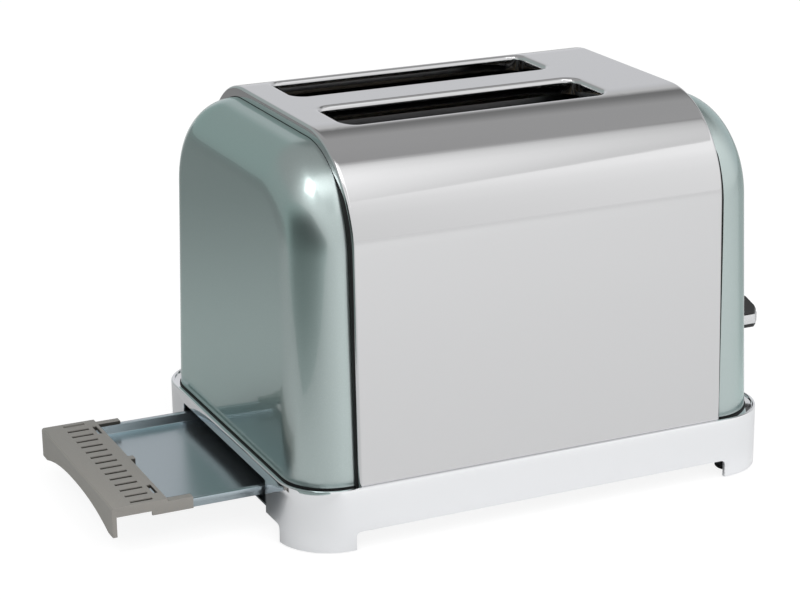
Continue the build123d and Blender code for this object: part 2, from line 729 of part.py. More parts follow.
side_view = [(knob_back, knob_low), (knob_nose + 1, knob_low), (knob_nose + 1, nose_z),
             (knob_nose, nose_z), (knob_nose - 8.5, knob_high - 0.8),
             (knob_nose - 12, knob_high), (knob_back, knob_high)]
knob = knob_prism(0, knob_low, knob_high) & prism_xz(side_view, -knob_half - 1, knob_half + 1)
groove = knob_prism(1, knob_strip_low, knob_strip_high) - knob_prism(
    -strip_thick, knob_strip_low - 1, knob_strip_high + 1)
groove &= block(knob_back + 4, knob_nose + 2, -100, 100, 0, 100)
knob_body = knob - groove
knob_body -= block(knob_back - 1, knob_back + knob_pocket, -arm_thick / 2 - seat_gap,
                   arm_thick / 2 + seat_gap, arm_low - seat_gap, arm_low + arm_high + seat_gap)
save("lever_knob", knob_body)
band = knob_prism(0.3, knob_strip_low + seat_gap, knob_strip_high - seat_gap) - knob_prism(
    seat_gap - strip_thick, knob_strip_low - 1, knob_strip_high + 1)
band &= block(knob_back + 4 + seat_gap, knob_nose + 2, -100, 100, 0, 100)
save("lever_knob_band", band)

# CONTROL BOARD
board_x1 = board_x + board_thick
board = block(board_x, board_x1, control_y - board_wid / 2, control_y + board_wid / 2,
              board_low, board_high)
post_r = 2.5
post_inset = 5.0
post_ys = (control_y - board_wid / 2 + post_inset, chassis_wid / 2 - post_inset)
post_zs = (board_low + post_inset, board_high - post_inset)
posts = [rod_along("x", post_r, chassis_right + seat_gap, board_x - seat_gap, y, z)
         for y in post_ys for z in post_zs]
save("board_posts", *posts)
save("control_board", board)
switch_x = board_x1 + seat_gap
switches = [block(switch_x, switch_x + switch_deep, control_y - switch_side / 2,
                  control_y + switch_side / 2, z - switch_side / 2, z + switch_side / 2)
            for z in button_zs]
save("button_switches", *switches)
lamps = [rod_along("x", lamp_r, switch_x, panel_end_x(z) + 0.4, control_y - lamp_off, z)
         for z in button_zs]
save("indicator_lights", *lamps)

# PUSH BUTTONS
stem_x = switch_x + switch_deep + button_travel + 0.3
for i, z in enumerate(button_zs):
    cap_x1 = panel_end_x(z) + button_stand
    cap = rod_along("x", button_r, cap_x1 - 9, cap_x1, control_y, z)
    cap = fillet(cap.edges().group_by(Axis.X)[-1], 0.8)
    cap += rod_along("x", 2.0, stem_x, cap_x1 - 8, control_y, z)
    save("push_button_" + str(i + 1), cap)

# BROWNING DIAL
dial_x0 = panel_end_x(dial_z - dial_r) + 0.5
dial = rod_along("x", dial_r, dial_x0, dial_x0 + 3.2, control_y, dial_z)
dial += rod_along("x", dial_r - 2.2, dial_x0, dial_x0 + dial_deep, control_y, dial_z)
dial = fillet(dial.edges().group_by(Axis.X)[-1], 1.2)
flute_count = 20
for i in range(flute_count):
    turn = 2 * pi * (i + 0.5) / flute_count
    dial -= rod_along("x", 1.1, dial_x0 + 3.2, dial_x0 + dial_deep + 1,
                      control_y + (dial_r - 1.7) * sin(turn), dial_z + (dial_r - 1.7) * cos(turn))
dial -= block(dial_x0 + dial_deep - 0.8, dial_x0 + dial_deep + 1, control_y - 0.7,
              control_y + 0.7, dial_z + 3, dial_z + dial_r)
bore_deep = dial_deep - 3
dial -= rod_along("x", dial_shaft_r + seat_gap, dial_x0 - 1, dial_x0 + bore_deep, control_y,
                  dial_z)
save("browning_dial", dial)
shaft_x0 = switch_x + 2
save("dial_shaft", rod_along("x", dial_shaft_r, shaft_x0, dial_x0 + bore_deep - 0.5, control_y,
                             dial_z))
pot = rod_along("x", pot_r, switch_x, switch_x + pot_deep, control_y, dial_z)
pot -= rod_along("x", dial_shaft_r + shaft_fit, shaft_x0 - 0.3, switch_x + pot_deep + 1,
                 control_y, dial_z)
save("browning_potentiometer", pot)

# CRUMB TRAY
# Pan with folded side rims; the handle's front wall fills the opening when the tray is home.
shift = Pos(-tray_out, 0, 0)
pan_half = tray_wid / 2
wall_half = pan_half - tray_rim_wid
pan_x0 = -half_len + handle_wall + 1.5
pan = block(pan_x0, tray_inner_x, -wall_half, wall_half, tray_floor_z, tray_rim_z)
pan = fillet(pan.edges().filter_by(Axis.Z), 2.0)
pan -= fillet(block(pan_x0 + tray_thick, tray_inner_x - tray_thick, -wall_half + tray_thick,
                    wall_half - tray_thick, tray_floor_z + tray_thick,
                    tray_rim_z + 1).edges().filter_by(Axis.Z), 1.4)
for sy in (-1, 1):
    pan += block(pan_x0 + 4, tray_inner_x - 4, sy * (wall_half - tray_thick / 2), sy * pan_half,
                 tray_rim_z - tray_thick, tray_rim_z)
    pan += block(pan_x0 + 4, tray_inner_x - 4, sy * (pan_half - tray_thick), sy * pan_half,
                 tray_rim_z - tray_rim_wid, tray_rim_z)
save("crumb_tray_pan", shift * pan)

hand_half = handle_wid / 2
top_thick = 2.0
hx0 = -half_len
hx1 = hx0 + handle_deep
arm_x1 = hx0 + handle_arm
arch_half = hand_half - 7
rise = handle_arch_top - handle_low
arch_face = [Line((-arch_half, handle_low - 1), (arch_half, handle_low - 1)),
             Line((arch_half, handle_low - 1), (arch_half, handle_low)),
             Spline((arch_half, handle_low), (arch_half * 0.5, handle_low + rise * 0.8),
                    (0, handle_low + rise), (-arch_half * 0.5, handle_low + rise * 0.8),
                    (-arch_half, handle_low)),
             Line((-arch_half, handle_low), (-arch_half, handle_low - 1))]
front_wall = block(hx0, hx0 + handle_wall, -hand_half, hand_half, handle_low, handle_top)
arch_cut = Pos(hx0 - 1, 0, 0) * extrude(Plane.YZ * make_face(arch_face), handle_wall + 2)
front_wall -= arch_cut
handle = front_wall + block(hx0, hx1, -hand_half, hand_half, handle_top - top_thick, handle_top)
side_wall = hand_half - pan_half - 2 * seat_gap
grip_z = tray_rim_z + seat_gap
for sy in (-1, 1):
    handle += block(hx0, hx0 + 20, sy * (hand_half - side_wall), sy * hand_half,
                    tray_floor_z + 3.4, handle_top)
    handle += block(hx0 + 19.5, arm_x1, sy * (hand_half - side_wall), sy * hand_half,
                    tray_floor_z + 1.2, grip_z + 1.6)
    handle += block(hx0 + 19.5, arm_x1, sy * (pan_half - 3), sy * hand_half, grip_z,
                    grip_z + 1.6)
    handle += block(hx0 + 19.5, hx1, sy * (pan_half - 3), sy * hand_half, grip_z, handle_top)
handle = chamfer(handle.edges().filter_by(Axis.Y).filter_by_position(
    Axis.Z, handle_top - 0.01, handle_top + 0.01).group_by(Axis.X)[0], 0.8)
vent_x = hx0 + 10.0
vent_pitch = (hand_half - 3.8) * 2 / (vent_count - 1)
for i in range(vent_count):
    y = (i - (vent_count - 1) / 2) * vent_pitch
    handle -= block(vent_x, vent_x + vent_len, y - vent_wid / 2, y + vent_wid / 2,
                    handle_top - top_thick - 0.1, handle_top + 1)
for sy in (-1, 1):
    handle -= block(hx1 - 3.8, hx1 - 1.6, sy * 36, sy * 47, handle_top - top_thick - 1,
                    handle_top + 1)
clip_low = tray_floor_z + tray_thick + seat_gap
handle += block(hx1 - 2, hx1 + 2.6, -1.8, 1.8, handle_top - top_thick, handle_top)
handle += block(hx1 + 1.2, hx1 + 2.6, -1.8, 1.8, clip_low, handle_top)
save("crumb_tray_handle", shift * handle)

# TRAY RUNNERS
# Channels between the chassis plates, with feet on the bottom plate.
web_in = hand_half + slide_gap
web_out = web_in + runner_thick
lip_top = tray_floor_z - 0.3
lip_in = web_in - runner_lip
runner_x0 = -half_len + handle_wall + 4
runner_x1 = chamber_x1
upper_lip = tray_open_top
runners = []
for sy in (-1, 1):
    run = block(runner_x0, runner_x1, sy * web_in, sy * web_out, lip_top - runner_thick,
                upper_lip + runner_thick)
    run += block(runner_x0, runner_x1, sy * lip_in, sy * web_out, lip_top - runner_thick, lip_top)
    run += block(runner_x0, runner_x1, sy * lip_in, sy * web_out, upper_lip,
                 upper_lip + runner_thick)
    for fx in (runner_x0, -20, runner_x1 - 12):
        run += block(fx, fx + 12, sy * web_in, sy * web_out, floor_top + seat_gap, lip_top)
    runners.append(run)
save("tray_runners", *runners)

# CHASSIS SCREWS
chassis_screws = [screw(cx, cy, foot_z + chassis_thick + seat_gap, 3.0, -1)
                  for cx, cy in chassis_spots]
save("chassis_screws", *chassis_screws)

# TERMINAL BLOCK AND CORD OUTLET
terminal = block(86, 112, -80, -64, floor_top + seat_gap, floor_top + 11)
terminal = chamfer(terminal.edges().filter_by(Axis.Z), 1.0)
for i in range(3):
    terminal -= rod_along("z", 2.2, floor_top + 5, floor_top + 12, 91 + i * 8, -72)
save("terminal_block", terminal)
gland = rod_along("x", gland_r, half_len - 10, half_len + 1, gland_y, gland_z)
gland += rod_along("x", gland_r + 2, half_len + seat_gap, half_len + 2.6, gland_y, gland_z)
gland -= rod_along("x", gland_bore, half_len - 12, half_len + 5, gland_y, gland_z)
save("cord_gland", gland)
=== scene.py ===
"""Looks of a two-slice toaster: polished wrap, painted end panels, chrome base, open crumb tray."""
import contextlib
import math

import bmesh
import bpy
from mathutils import Matrix, Vector


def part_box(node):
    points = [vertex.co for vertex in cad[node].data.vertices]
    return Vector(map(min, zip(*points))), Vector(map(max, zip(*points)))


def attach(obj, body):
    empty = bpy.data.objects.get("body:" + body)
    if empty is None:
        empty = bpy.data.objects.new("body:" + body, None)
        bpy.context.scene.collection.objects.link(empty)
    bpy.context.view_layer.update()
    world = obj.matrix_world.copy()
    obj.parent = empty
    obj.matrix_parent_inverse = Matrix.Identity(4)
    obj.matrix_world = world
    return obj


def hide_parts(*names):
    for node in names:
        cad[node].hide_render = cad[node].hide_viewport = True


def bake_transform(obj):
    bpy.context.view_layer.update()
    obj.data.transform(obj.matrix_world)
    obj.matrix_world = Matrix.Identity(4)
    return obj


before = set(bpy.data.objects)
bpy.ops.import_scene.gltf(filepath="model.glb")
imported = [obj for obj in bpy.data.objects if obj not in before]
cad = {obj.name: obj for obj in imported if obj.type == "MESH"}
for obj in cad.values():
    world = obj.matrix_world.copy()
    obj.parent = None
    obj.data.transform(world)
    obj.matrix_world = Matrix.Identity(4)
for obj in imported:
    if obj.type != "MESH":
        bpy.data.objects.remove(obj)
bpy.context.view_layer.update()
MM = 0.001


# CHROME BASE RING
# The ring that the toaster stands in: a chrome-plated pressing with a rim bead, a ledge for the
# body, four corner feet between low arches, and the mouth of the crumb tray in its left end.
def linear(code):
    """Colour written as an sRGB hex code, as linear red, green, blue and alpha."""
    out = []
    for i in (1, 3, 5):
        c = int(code[i:i + 2], 16) / 255
        out.append(c / 12.92 if c <= 0.04045 else ((c + 0.055) / 1.055) ** 2.4)
    return (*out, 1.0)


def put(tree, kind, sockets=(), **settings):
    """Adds a node, by its type's name without the word before it, such as Math.

    Each input takes a value, a node, an output socket, or a list of them.
    """
    names = [word + kind for word in ("ShaderNode", "GeometryNode", "Node")]
    made = tree.nodes.new(next(name for name in names if hasattr(bpy.types, name)))
    for name, value in settings.items():
        setattr(made, name, value)
    for key, value in sockets.items() if isinstance(sockets, dict) else enumerate(sockets):
        for item in value if isinstance(value, list) else [value]:
            if isinstance(item, bpy.types.Node):
                item = next(out for out in item.outputs if out.enabled)
            if isinstance(item, bpy.types.NodeSocket):
                tree.links.new(item, made.inputs[key])
            else:
                made.inputs[key].default_value = item
    return made


def bare_finish(name):
    """An empty material, its tree, and the piece's own coordinates in it."""
    finish = bpy.data.materials.new(name)
    finish.use_nodes = True
    tree = finish.node_tree
    tree.nodes.clear()
    return finish, tree, put(tree, "TexCoord").outputs["Object"]


def new_finish(name, skin, *patterns):
    """A material: skin holds its plain values, and each pattern leads others of them.

    A pattern is a texture, the output to read, its values, and what it leads: a socket with two
    colours, two amounts, or the strength and height in mm of a relief. A fifth entry stretches it.
    """
    finish, tree, place = bare_finish(name)
    skin = dict(skin)
    for kind, read, values, leads, *stretch in patterns:
        where = place
        if stretch:
            where = put(tree, "Mapping", {"Vector": place, "Scale": stretch[0]})
        level = put(tree, "Tex" + kind, {"Vector": where, **values}).outputs[read]
        for socket, (low, high) in leads.items():
            if socket.endswith("Normal"):
                skin[socket] = put(tree, "Bump", {"Height": level, "Strength": low,
                    "Distance": high * MM})
            elif isinstance(low, str):
                skin[socket] = put(tree, "Mix", {"Factor": level, "A": linear(low),
                    "B": linear(high)}, data_type="RGBA")
            else:
                skin[socket] = put(tree, "MapRange",
                    {"Value": level, "To Min": low, "To Max": high})
    skin = put(tree, "BsdfPrincipled", skin, name="skin")
    put(tree, "OutputMaterial", {"Surface": skin})
    return finish


def add_row(points, spots):
    """Adds a row of points to a mesh and gives their numbers."""
    first = len(points)
    points.extend(spots)
    return list(range(first, len(points)))


def bridge(rows, closed=False):
    """Faces between each row of points and the next."""
    faces, n = [], len(rows[0])
    for low, high in zip(rows, rows[1:]):
        faces += [(low[k], low[(k + 1) % n], high[(k + 1) % n], high[k])
            for k in range(n if closed else n - 1)]
    return faces


def stand(name, data):
    """A new object, put into the scene."""
    thing = bpy.data.objects.new(name, data)
    bpy.context.scene.collection.objects.link(thing)
    return thing


def piece_from(name, points, faces, finish, smooth=True):
    """A mesh piece from its corners, in metres, and its faces."""
    mesh = bpy.data.meshes.new(name)
    mesh.from_pydata([tuple(p) for p in points], [], faces, shade_flat=not smooth)
    mesh.validate()
    mesh.update()
    mesh.materials.append(finish)
    return stand(name, mesh)


def settle(piece):
    """Applies the piece's modifiers to its mesh."""
    graph = bpy.context.evaluated_depsgraph_get()
    mesh = bpy.data.meshes.new_from_object(piece.evaluated_get(graph))
    piece.modifiers.clear()
    piece.data = mesh
    return piece


@contextlib.contextmanager
def reshaped(piece):
    """The piece's mesh, open to be changed."""
    form = bmesh.new()
    form.from_mesh(piece.data)
    yield form
    form.to_mesh(piece.data)
    form.free()


def sharpen(piece, degrees=35.0):
    """Smooth shading, with edges over an angle kept sharp."""
    piece.data.shade_smooth()
    with reshaped(piece) as form:
        for edge in form.edges:
            edge.smooth = edge.calc_face_angle(math.pi) < math.radians(degrees)
    return piece


def outwards(piece):
    """Turns every face of a closed piece outwards."""
    with reshaped(piece) as form:
        bmesh.ops.remove_doubles(form, verts=form.verts, dist=1e-7)
        bmesh.ops.recalc_face_normals(form, faces=form.faces)
    return piece


def soften(piece, width, segments=2, apart=30.0, harden=False):
    """Rounds the edges that turn by more than an angle, to a width in mm."""
    ease = piece.modifiers.new("ease", "BEVEL")
    ease.width, ease.segments, ease.harden_normals = width * MM, segments, harden
    ease.limit_method, ease.angle_limit = "ANGLE", math.radians(apart)
    return settle(piece)


def belongs(piece, body, slot, *nodes):
    """The piece rides on its body and stands for its CAD nodes; the slot is not used."""
    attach(piece, body)
    if nodes:
        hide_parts(*nodes)


# Chrome plate over polished steel: near-mirror, a little cool, with faint polishing haze.
chrome_plate = new_finish("chrome_plate", {"Base Color": linear("#EAEBED"), "Metallic": 1.0},
    ("Noise", "Fac", {"Scale": 28.0, "Detail": 3.0}, {"Roughness": (0.045, 0.10)}))

base_len, base_wid, base_r, base_wall = 256.5, 194.4, 27.0, 2.0
ledge_z, ledge_wid, ledge_thick = 30.0, 14.5, 1.6
rim_top, rim_wid, rim_round, foot_gap = 31.2, 1.7, 0.7, 0.8
rim_ease = 0.2
arch_high, arch_r = 9.5, 2.2
side_arch, end_arch = 198.6, 146.0
mouth_wid, mouth_top, mouth_r = 113.2, 26.0, 1.0
cut_side, cut_end, cut_low = (-150, 150), (-180, 180), -20


def quarter(x, y, r, start, steps=14):
    """Points of a quarter circle round a centre, from an angle in degrees on."""
    turns = [math.radians(start + 90 * i / steps) for i in range(steps + 1)]
    return [(x + r * math.cos(a), y + r * math.sin(a)) for a in turns]


def ring_solid(name, steps, length, width, corner, finish):
    """Closed ring: one rounded rectangle for each step of (inset, height)."""
    points, rows = [], []
    for inset, z in steps:
        r = max(corner - inset, 1.0)
        x, y = (length - 2 * inset) / 2 - r, (width - 2 * inset) / 2 - r
        outline = (quarter(x, -y, r, -90) + quarter(x, y, r, 0) + quarter(-x, y, r, 90)
            + quarter(-x, -y, r, 180))
        rows.append(add_row(points, [(x * MM, y * MM, z * MM) for x, y in outline]))
    return piece_from(name, points, bridge(rows + rows[:1], True), finish)


def rounded_cutter(name, length, reach, high, corner, along):
    """Cutter for an arch or a mouth: a bar along x or y with rounded upper corners."""
    x, z = length / 2 - corner, high - corner
    section = [(-length / 2, cut_low), (length / 2, cut_low), *quarter(x, z, corner, 0, 6),
        *quarter(-x, z, corner, 90, 6)]
    points, ends = [], []
    for end in reach:
        spots = [(end, u, z) if along == "x" else (u, end, z) for u, z in section]
        ends.append(add_row(points, [[c * MM for c in spot] for spot in spots]))
    faces = bridge(ends, True) + [ends[0], ends[1][::-1]]
    return outwards(piece_from(name, points, faces, chrome_plate, False))


def cut_away(piece, *cutters):
    """Takes the cutters out of the piece."""
    for cutter in cutters:
        cut = piece.modifiers.new("cut", "BOOLEAN")
        cut.operation, cut.solver, cut.object = "DIFFERENCE", "EXACT", cutter
    settle(piece)
    for cutter in cutters:
        bpy.data.objects.remove(cutter)
    return piece


under_ledge, under_round = ledge_z - ledge_thick, ledge_z - 2.2
ring_steps = [(0, foot_gap), (0, 12), (0, 24), (0, rim_top - rim_round),
    (rim_ease, rim_top - rim_ease), (rim_round, rim_top), (rim_wid - rim_round, rim_top),
    (rim_wid - rim_ease, rim_top - rim_ease), (rim_wid, rim_top - rim_round),
    (rim_wid + 0.2, ledge_z + 0.1), (rim_wid + 0.5, ledge_z), (ledge_wid, ledge_z),
    (ledge_wid, under_ledge), (base_wall + 0.5, under_ledge), (base_wall, under_round),
    (base_wall, 12), (base_wall, foot_gap)]
base = ring_solid("base_ring_skin", ring_steps, base_len, base_wid, base_r, chrome_plate)
cut_away(base, rounded_cutter("side_arches", side_arch, cut_side, arch_high, arch_r, "y"),
    rounded_cutter("end_arches", end_arch, cut_end, arch_high, arch_r, "x"),
    rounded_cutter("tray_mouth", mouth_wid, (-180, -120), mouth_top, mouth_r, "x"))
belongs(sharpen(soften(base, 0.35, apart=50.0)), "housing", "chrome_plate", "base_ring")

# FOOT PADS
# Four soft rubber discs, each with a stud pressed into the web of a chrome foot. Their sides have
# a moulded groove, and the edge on the floor is eased.
# Moulded rubber: matt black, with a fine grain from the mould, drawn about 0.7 mm wide.
moulded_rubber = new_finish("moulded_rubber", {"Roughness": 0.75},
    ("Noise", "Fac", {"Scale": 1400.0}, {"Base Color": ("#19191A", "#272728"),
    "Normal": (0.25, 0.2)}))


def turned(name, spots, profile, finish, along="z", sides=40):
    """Round pieces from steps of (radius, distance along the axis), one at each spot."""
    points, faces = [], []
    turns = [2 * math.pi * i / sides for i in range(sides)]
    for spot in spots:
        rows = []
        for r, d in profile:
            ring = [(r * math.cos(a), r * math.sin(a)) for a in turns]
            shifts = [(u, v, d) if along == "z" else (d, u, v) for u, v in ring]
            rows.append(add_row(points, [[(a + b) * MM for a, b in zip(spot, shift)]
                for shift in shifts]))
        faces += bridge(rows, True) + [rows[0][::-1], rows[-1]]
    return sharpen(outwards(piece_from(name, points, faces, finish)))


pad_r, pad_high, stud_r, stud_top, groove = 6.99, 3.1, 1.44, 6.2, 0.3
pad_reach = [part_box("foot_pads")[1][axis] / MM - pad_r for axis in (0, 1)]
pad_spots = [(sx * pad_reach[0], sy * pad_reach[1], 0.0) for sx in (-1, 1) for sy in (-1, 1)]
pads = turned("rubber_pads", pad_spots, [(pad_r - 1.6, 0.35), (pad_r - 1.2, 0.0),
    (pad_r - 0.5, 0.0), (pad_r, 0.5), (pad_r, 1.3), (pad_r - groove, 1.5), (pad_r - groove, 1.8),
    (pad_r, 2.0), (pad_r, pad_high), (stud_r, pad_high), (stud_r, stud_top)], moulded_rubber)
belongs(pads, "housing", "pad_rubber", "foot_pads")

# BOTTOM PLATE AND SCREWS
# A zinc-coated steel floor, punched with two rows of vents and held up into the chrome ring by
# six pan-head screws. Smaller screws of the same kind hold the end panels and the chassis.
# Hot-dip zinc on steel: dull silver with a crystal spangle, drawn about 8 mm across.
zinc_coat = new_finish("zinc_coat", {"Metallic": 1.0}, ("Voronoi", "Color", {"Scale": 120.0},
    {"Base Color": ("#A9ADB0", "#BCC1C4"), "Roughness": (0.30, 0.44)}))

# Zinc-plated screw steel: bright grey, with turning marks about 0.4 mm apart.
plated_screw = new_finish("plated_screw", {"Base Color": linear("#B3B5B6"), "Metallic": 1.0},
    ("Noise", "Fac", {"Scale": 2500.0}, {"Roughness": (0.22, 0.38)}))


def dress(finish, *nodes):
    """Gives a finish to CAD nodes whose shape is right."""
    for node in nodes:
        for slot in cad[node].material_slots:
            slot.material = finish


def new_growth(name, **sizes):
    """A Geometry Nodes tree with named inputs for its sizes; returns it and those inputs."""
    tree = bpy.data.node_groups.new(name, "GeometryNodeTree")
    face = tree.interface
    face.new_socket("Geometry", in_out="OUTPUT", socket_type="NodeSocketGeometry")
    face.new_socket("spots", in_out="INPUT", socket_type="NodeSocketGeometry")
    kinds = {int: "NodeSocketInt", float: "NodeSocketFloat", tuple: "NodeSocketVector"}
    for label, value in sizes.items():
        taken = face.new_socket(label, in_out="INPUT", socket_type=kinds[type(value)])
        taken.default_value = value
    return tree, put(tree, "GroupInput").outputs


def end_growth(tree, form, finish, spots=None):
    """Ends a tree: its form put at its spots, made real, given its finish and handed out."""
    if spots:
        form = put(tree, "InstanceOnPoints", {"Points": spots, "Instance": form})
    real = put(tree, "RealizeInstances", {"Geometry": form})
    worn = put(tree, "SetMaterial", {"Geometry": real, "Material": finish})
    put(tree, "GroupOutput", {"Geometry": worn})


def grow(name, tree, spots=(), **sizes):
    """The plain mesh that a Geometry Nodes tree makes with these sizes, at these spots."""
    piece = piece_from(name, [[c * MM for c in spot] for spot in spots], [], None)
    growth = piece.modifiers.new("growth", "NODES")
    growth.node_group = tree
    for item in tree.interface.items_tree:
        if item.in_out == "INPUT" and item.name in sizes:
            growth[item.identifier] = sizes[item.name]
    return settle(piece)


screw_tree, size = new_growth("pan_head_screw", radius=3.0 * MM, neck=2.16 * MM, head=1.6 * MM,
    recess=(3.0 * MM, 0.6 * MM, 1.6 * MM), shank=1.44 * MM, length=8.0 * MM, tip=(0.0, 0.0, 0.0))
tree = screw_tree
head = put(tree, "MeshCone", {"Vertices": 28, "Radius Top": size["radius"],
    "Radius Bottom": size["neck"], "Depth": size["head"]})
down = put(tree, "VectorMath", {0: (0.0, 0.0, -1.0), "Scale": size["head"]}, operation="SCALE")
head = put(tree, "Transform", {"Geometry": head, "Translation": down})
bar = put(tree, "MeshCube", {"Size": size["recess"]})
cross = [put(tree, "Transform", {"Geometry": bar, "Translation": down,
    "Rotation": (0.0, 0.0, turn)}) for turn in (0.0, math.pi / 2)]
head = put(tree, "MeshBoolean", {"Mesh 1": head, "Mesh 2": cross}, operation="DIFFERENCE")
shank = put(tree, "MeshCylinder", {"Vertices": 20, "Radius": size["shank"],
    "Depth": size["length"]})
rise = put(tree, "VectorMath", {0: (0.0, 0.0, 0.5), "Scale": size["length"]}, operation="SCALE")
shank = put(tree, "Transform", {"Geometry": shank, "Translation": rise})
whole = put(tree, "JoinGeometry", {"Geometry": [head, shank]})
tipped = put(tree, "Transform", {"Geometry": whole, "Rotation": size["tip"]})
end_growth(tree, tipped, plated_screw, size["spots"])

for node, xs, y, z, sizes in (("bottom_screws", (-106.45, 0.0, 106.45), 89.7, 9.5, {}),
        ("panel_screws", (-117.3, 117.3), 62.0, 28.35, {"length": 4.0 * MM}),
        ("chassis_screws", (-88.95, 66.95), 65.7, 11.6, {"length": 3.0 * MM,
        "tip": (math.pi, 0.0, 0.0)})):
    spots = [(x, side * y, z) for x in xs for side in (-1, 1)]
    screws = grow("pan_head_" + node, screw_tree, spots, **sizes)
    belongs(sharpen(screws), "housing", "screw_steel", node)
dress(zinc_coat, "bottom_plate")

# CHASSIS, HEAT SHIELDS AND TOP GUIDE
# Two upright zinc-coated plates carry the heaters, the bread guides and the lifters. Bright
# aluminised shields close the long sides, a reflector parts the slots, and a plate guides bread.
# Aluminised sheet: bright and faintly mottled, tanned a little by the heat.
aluminised_sheet = new_finish("aluminised_sheet", {"Metallic": 1.0, "Roughness": 0.34},
    ("Noise", "Fac", {"Scale": 60.0, "Detail": 4.0}, {"Base Color": ("#B4AFA6", "#C9C7C2")}))
# Blackened sheet: heat-proof dark coat, matt with a fine orange peel.
blackened_sheet = new_finish("blackened_sheet", {"Roughness": 0.55},
    ("Noise", "Fac", {"Scale": 900.0}, {"Base Color": ("#1C1C1D", "#2A2A2B")}))
dress(zinc_coat, "left_chassis_plate", "right_chassis_plate", "lower_bracket", "upper_bracket",
    "tray_runners", "carriage_plate")
dress(aluminised_sheet, "front_heat_shield", "rear_heat_shield", "centre_reflector")
dress(blackened_sheet, "top_guide_plate", "front_bread_lifter", "rear_bread_lifter")

# HEATERS
# Four mica cards, each with one flat resistance ribbon that runs to and fro over the side facing
# the bread, ten runs high.
# Phlogopite mica board: pale tan flakes pressed flat, silky where they catch the light.
mica_board = new_finish("mica_board", {"Metallic": 0.25, "Roughness": 0.42},
    ("Voronoi", "Color", {"Scale": 260.0}, {"Base Color": ("#8F8470", "#A89C84")}))
# Nickel-chrome ribbon: dark grey-brown oxide with a metal sheen.
oxidised_ribbon = new_finish("oxidised_ribbon", {"Metallic": 0.9, "Roughness": 0.45},
    ("Noise", "Fac", {"Scale": 180.0}, {"Base Color": ("#4A4038", "#7A6F66")}))

ribbon_runs, ribbon_wid = 10, 1.8
ribbon_tree, size = new_growth("heater_ribbon", ends=2 * ribbon_runs, start=(0.0, 0.0, 0.0),
    reach=(0.1, 0.0, 0.0), rise=(0.0, 0.0, 0.01), width=ribbon_wid * MM, thick=0.2 * MM,
    bend=1.6 * MM)
tree = ribbon_tree
index = put(tree, "InputIndex")
course = put(tree, "MeshLine", {"Count": size["ends"]})
half = put(tree, "Math", (index, 0.5, 0.5), operation="MULTIPLY_ADD")
half = put(tree, "Math", (half,), operation="FLOOR")
far = put(tree, "Math", (half, 2.0), operation="MODULO")
row = put(tree, "Math", (index, 0.5), operation="MULTIPLY")
row = put(tree, "Math", (row,), operation="FLOOR")
spot = size["start"]
for step, times in ((size["reach"], far), (size["rise"], row)):
    spot = put(tree, "VectorMath", (step, times, spot), operation="MULTIPLY_ADD")
laid = put(tree, "SetPosition", {"Geometry": course, "Position": spot})
line = put(tree, "MeshToCurve", {"Mesh": laid})
bent = put(tree, "FilletCurve", {"Curve": line, "Count": 5, "Radius": size["bend"]}, mode="POLY")
level = put(tree, "SetCurveNormal", {"Curve": bent, "Normal": (0.0, 1.0, 0.0)}, mode="FREE")
strip = put(tree, "CurvePrimitiveQuadrilateral", {"Width": size["thick"], "Height": size["width"]})
swept = put(tree, "CurveToMesh", {"Curve": level, "Profile Curve": strip, "Fill Caps": True})
end_growth(tree, swept, oxidised_ribbon)
for label in ("front_inner", "front_outer", "rear_inner", "rear_outer"):
    node = label + "_heater_ribbon"
    low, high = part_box(node)
    half = ribbon_wid * MM / 2
    ribbon = grow(label + "_ribbon", ribbon_tree, start=(low.x + half, (low.y + high.y) / 2,
        low.z + half), reach=(high.x - low.x - 2 * half, 0.0, 0.0),
        rise=(0.0, 0.0, (high.z - low.z - 2 * half) / (ribbon_runs - 1)))
    belongs(ribbon, "housing", "heater_ribbon", node)
    dress(mica_board, label + "_heater_card")

# BREAD GUIDES
# Four grids of chromed wire, two to a slot, that close on the bread when the lever goes down.
# Each has two long rails, which slide in the chassis plates, and eight uprights spot-welded on.
# Chromed wire: bright, with a slightly blurred shine.
chromed_wire = new_finish("chromed_wire", {"Base Color": linear("#BFC0C2"), "Metallic": 1.0},
    ("Noise", "Fac", {"Scale": 700.0}, {"Roughness": (0.16, 0.28)}))


def wire_along(tree, curve, radius, sides):
    """Round wire with closed ends, along a curve."""
    circle = put(tree, "CurvePrimitiveCircle", {"Resolution": sides, "Radius": radius})
    return put(tree, "CurveToMesh", {"Curve": curve, "Profile Curve": circle, "Fill Caps": True})


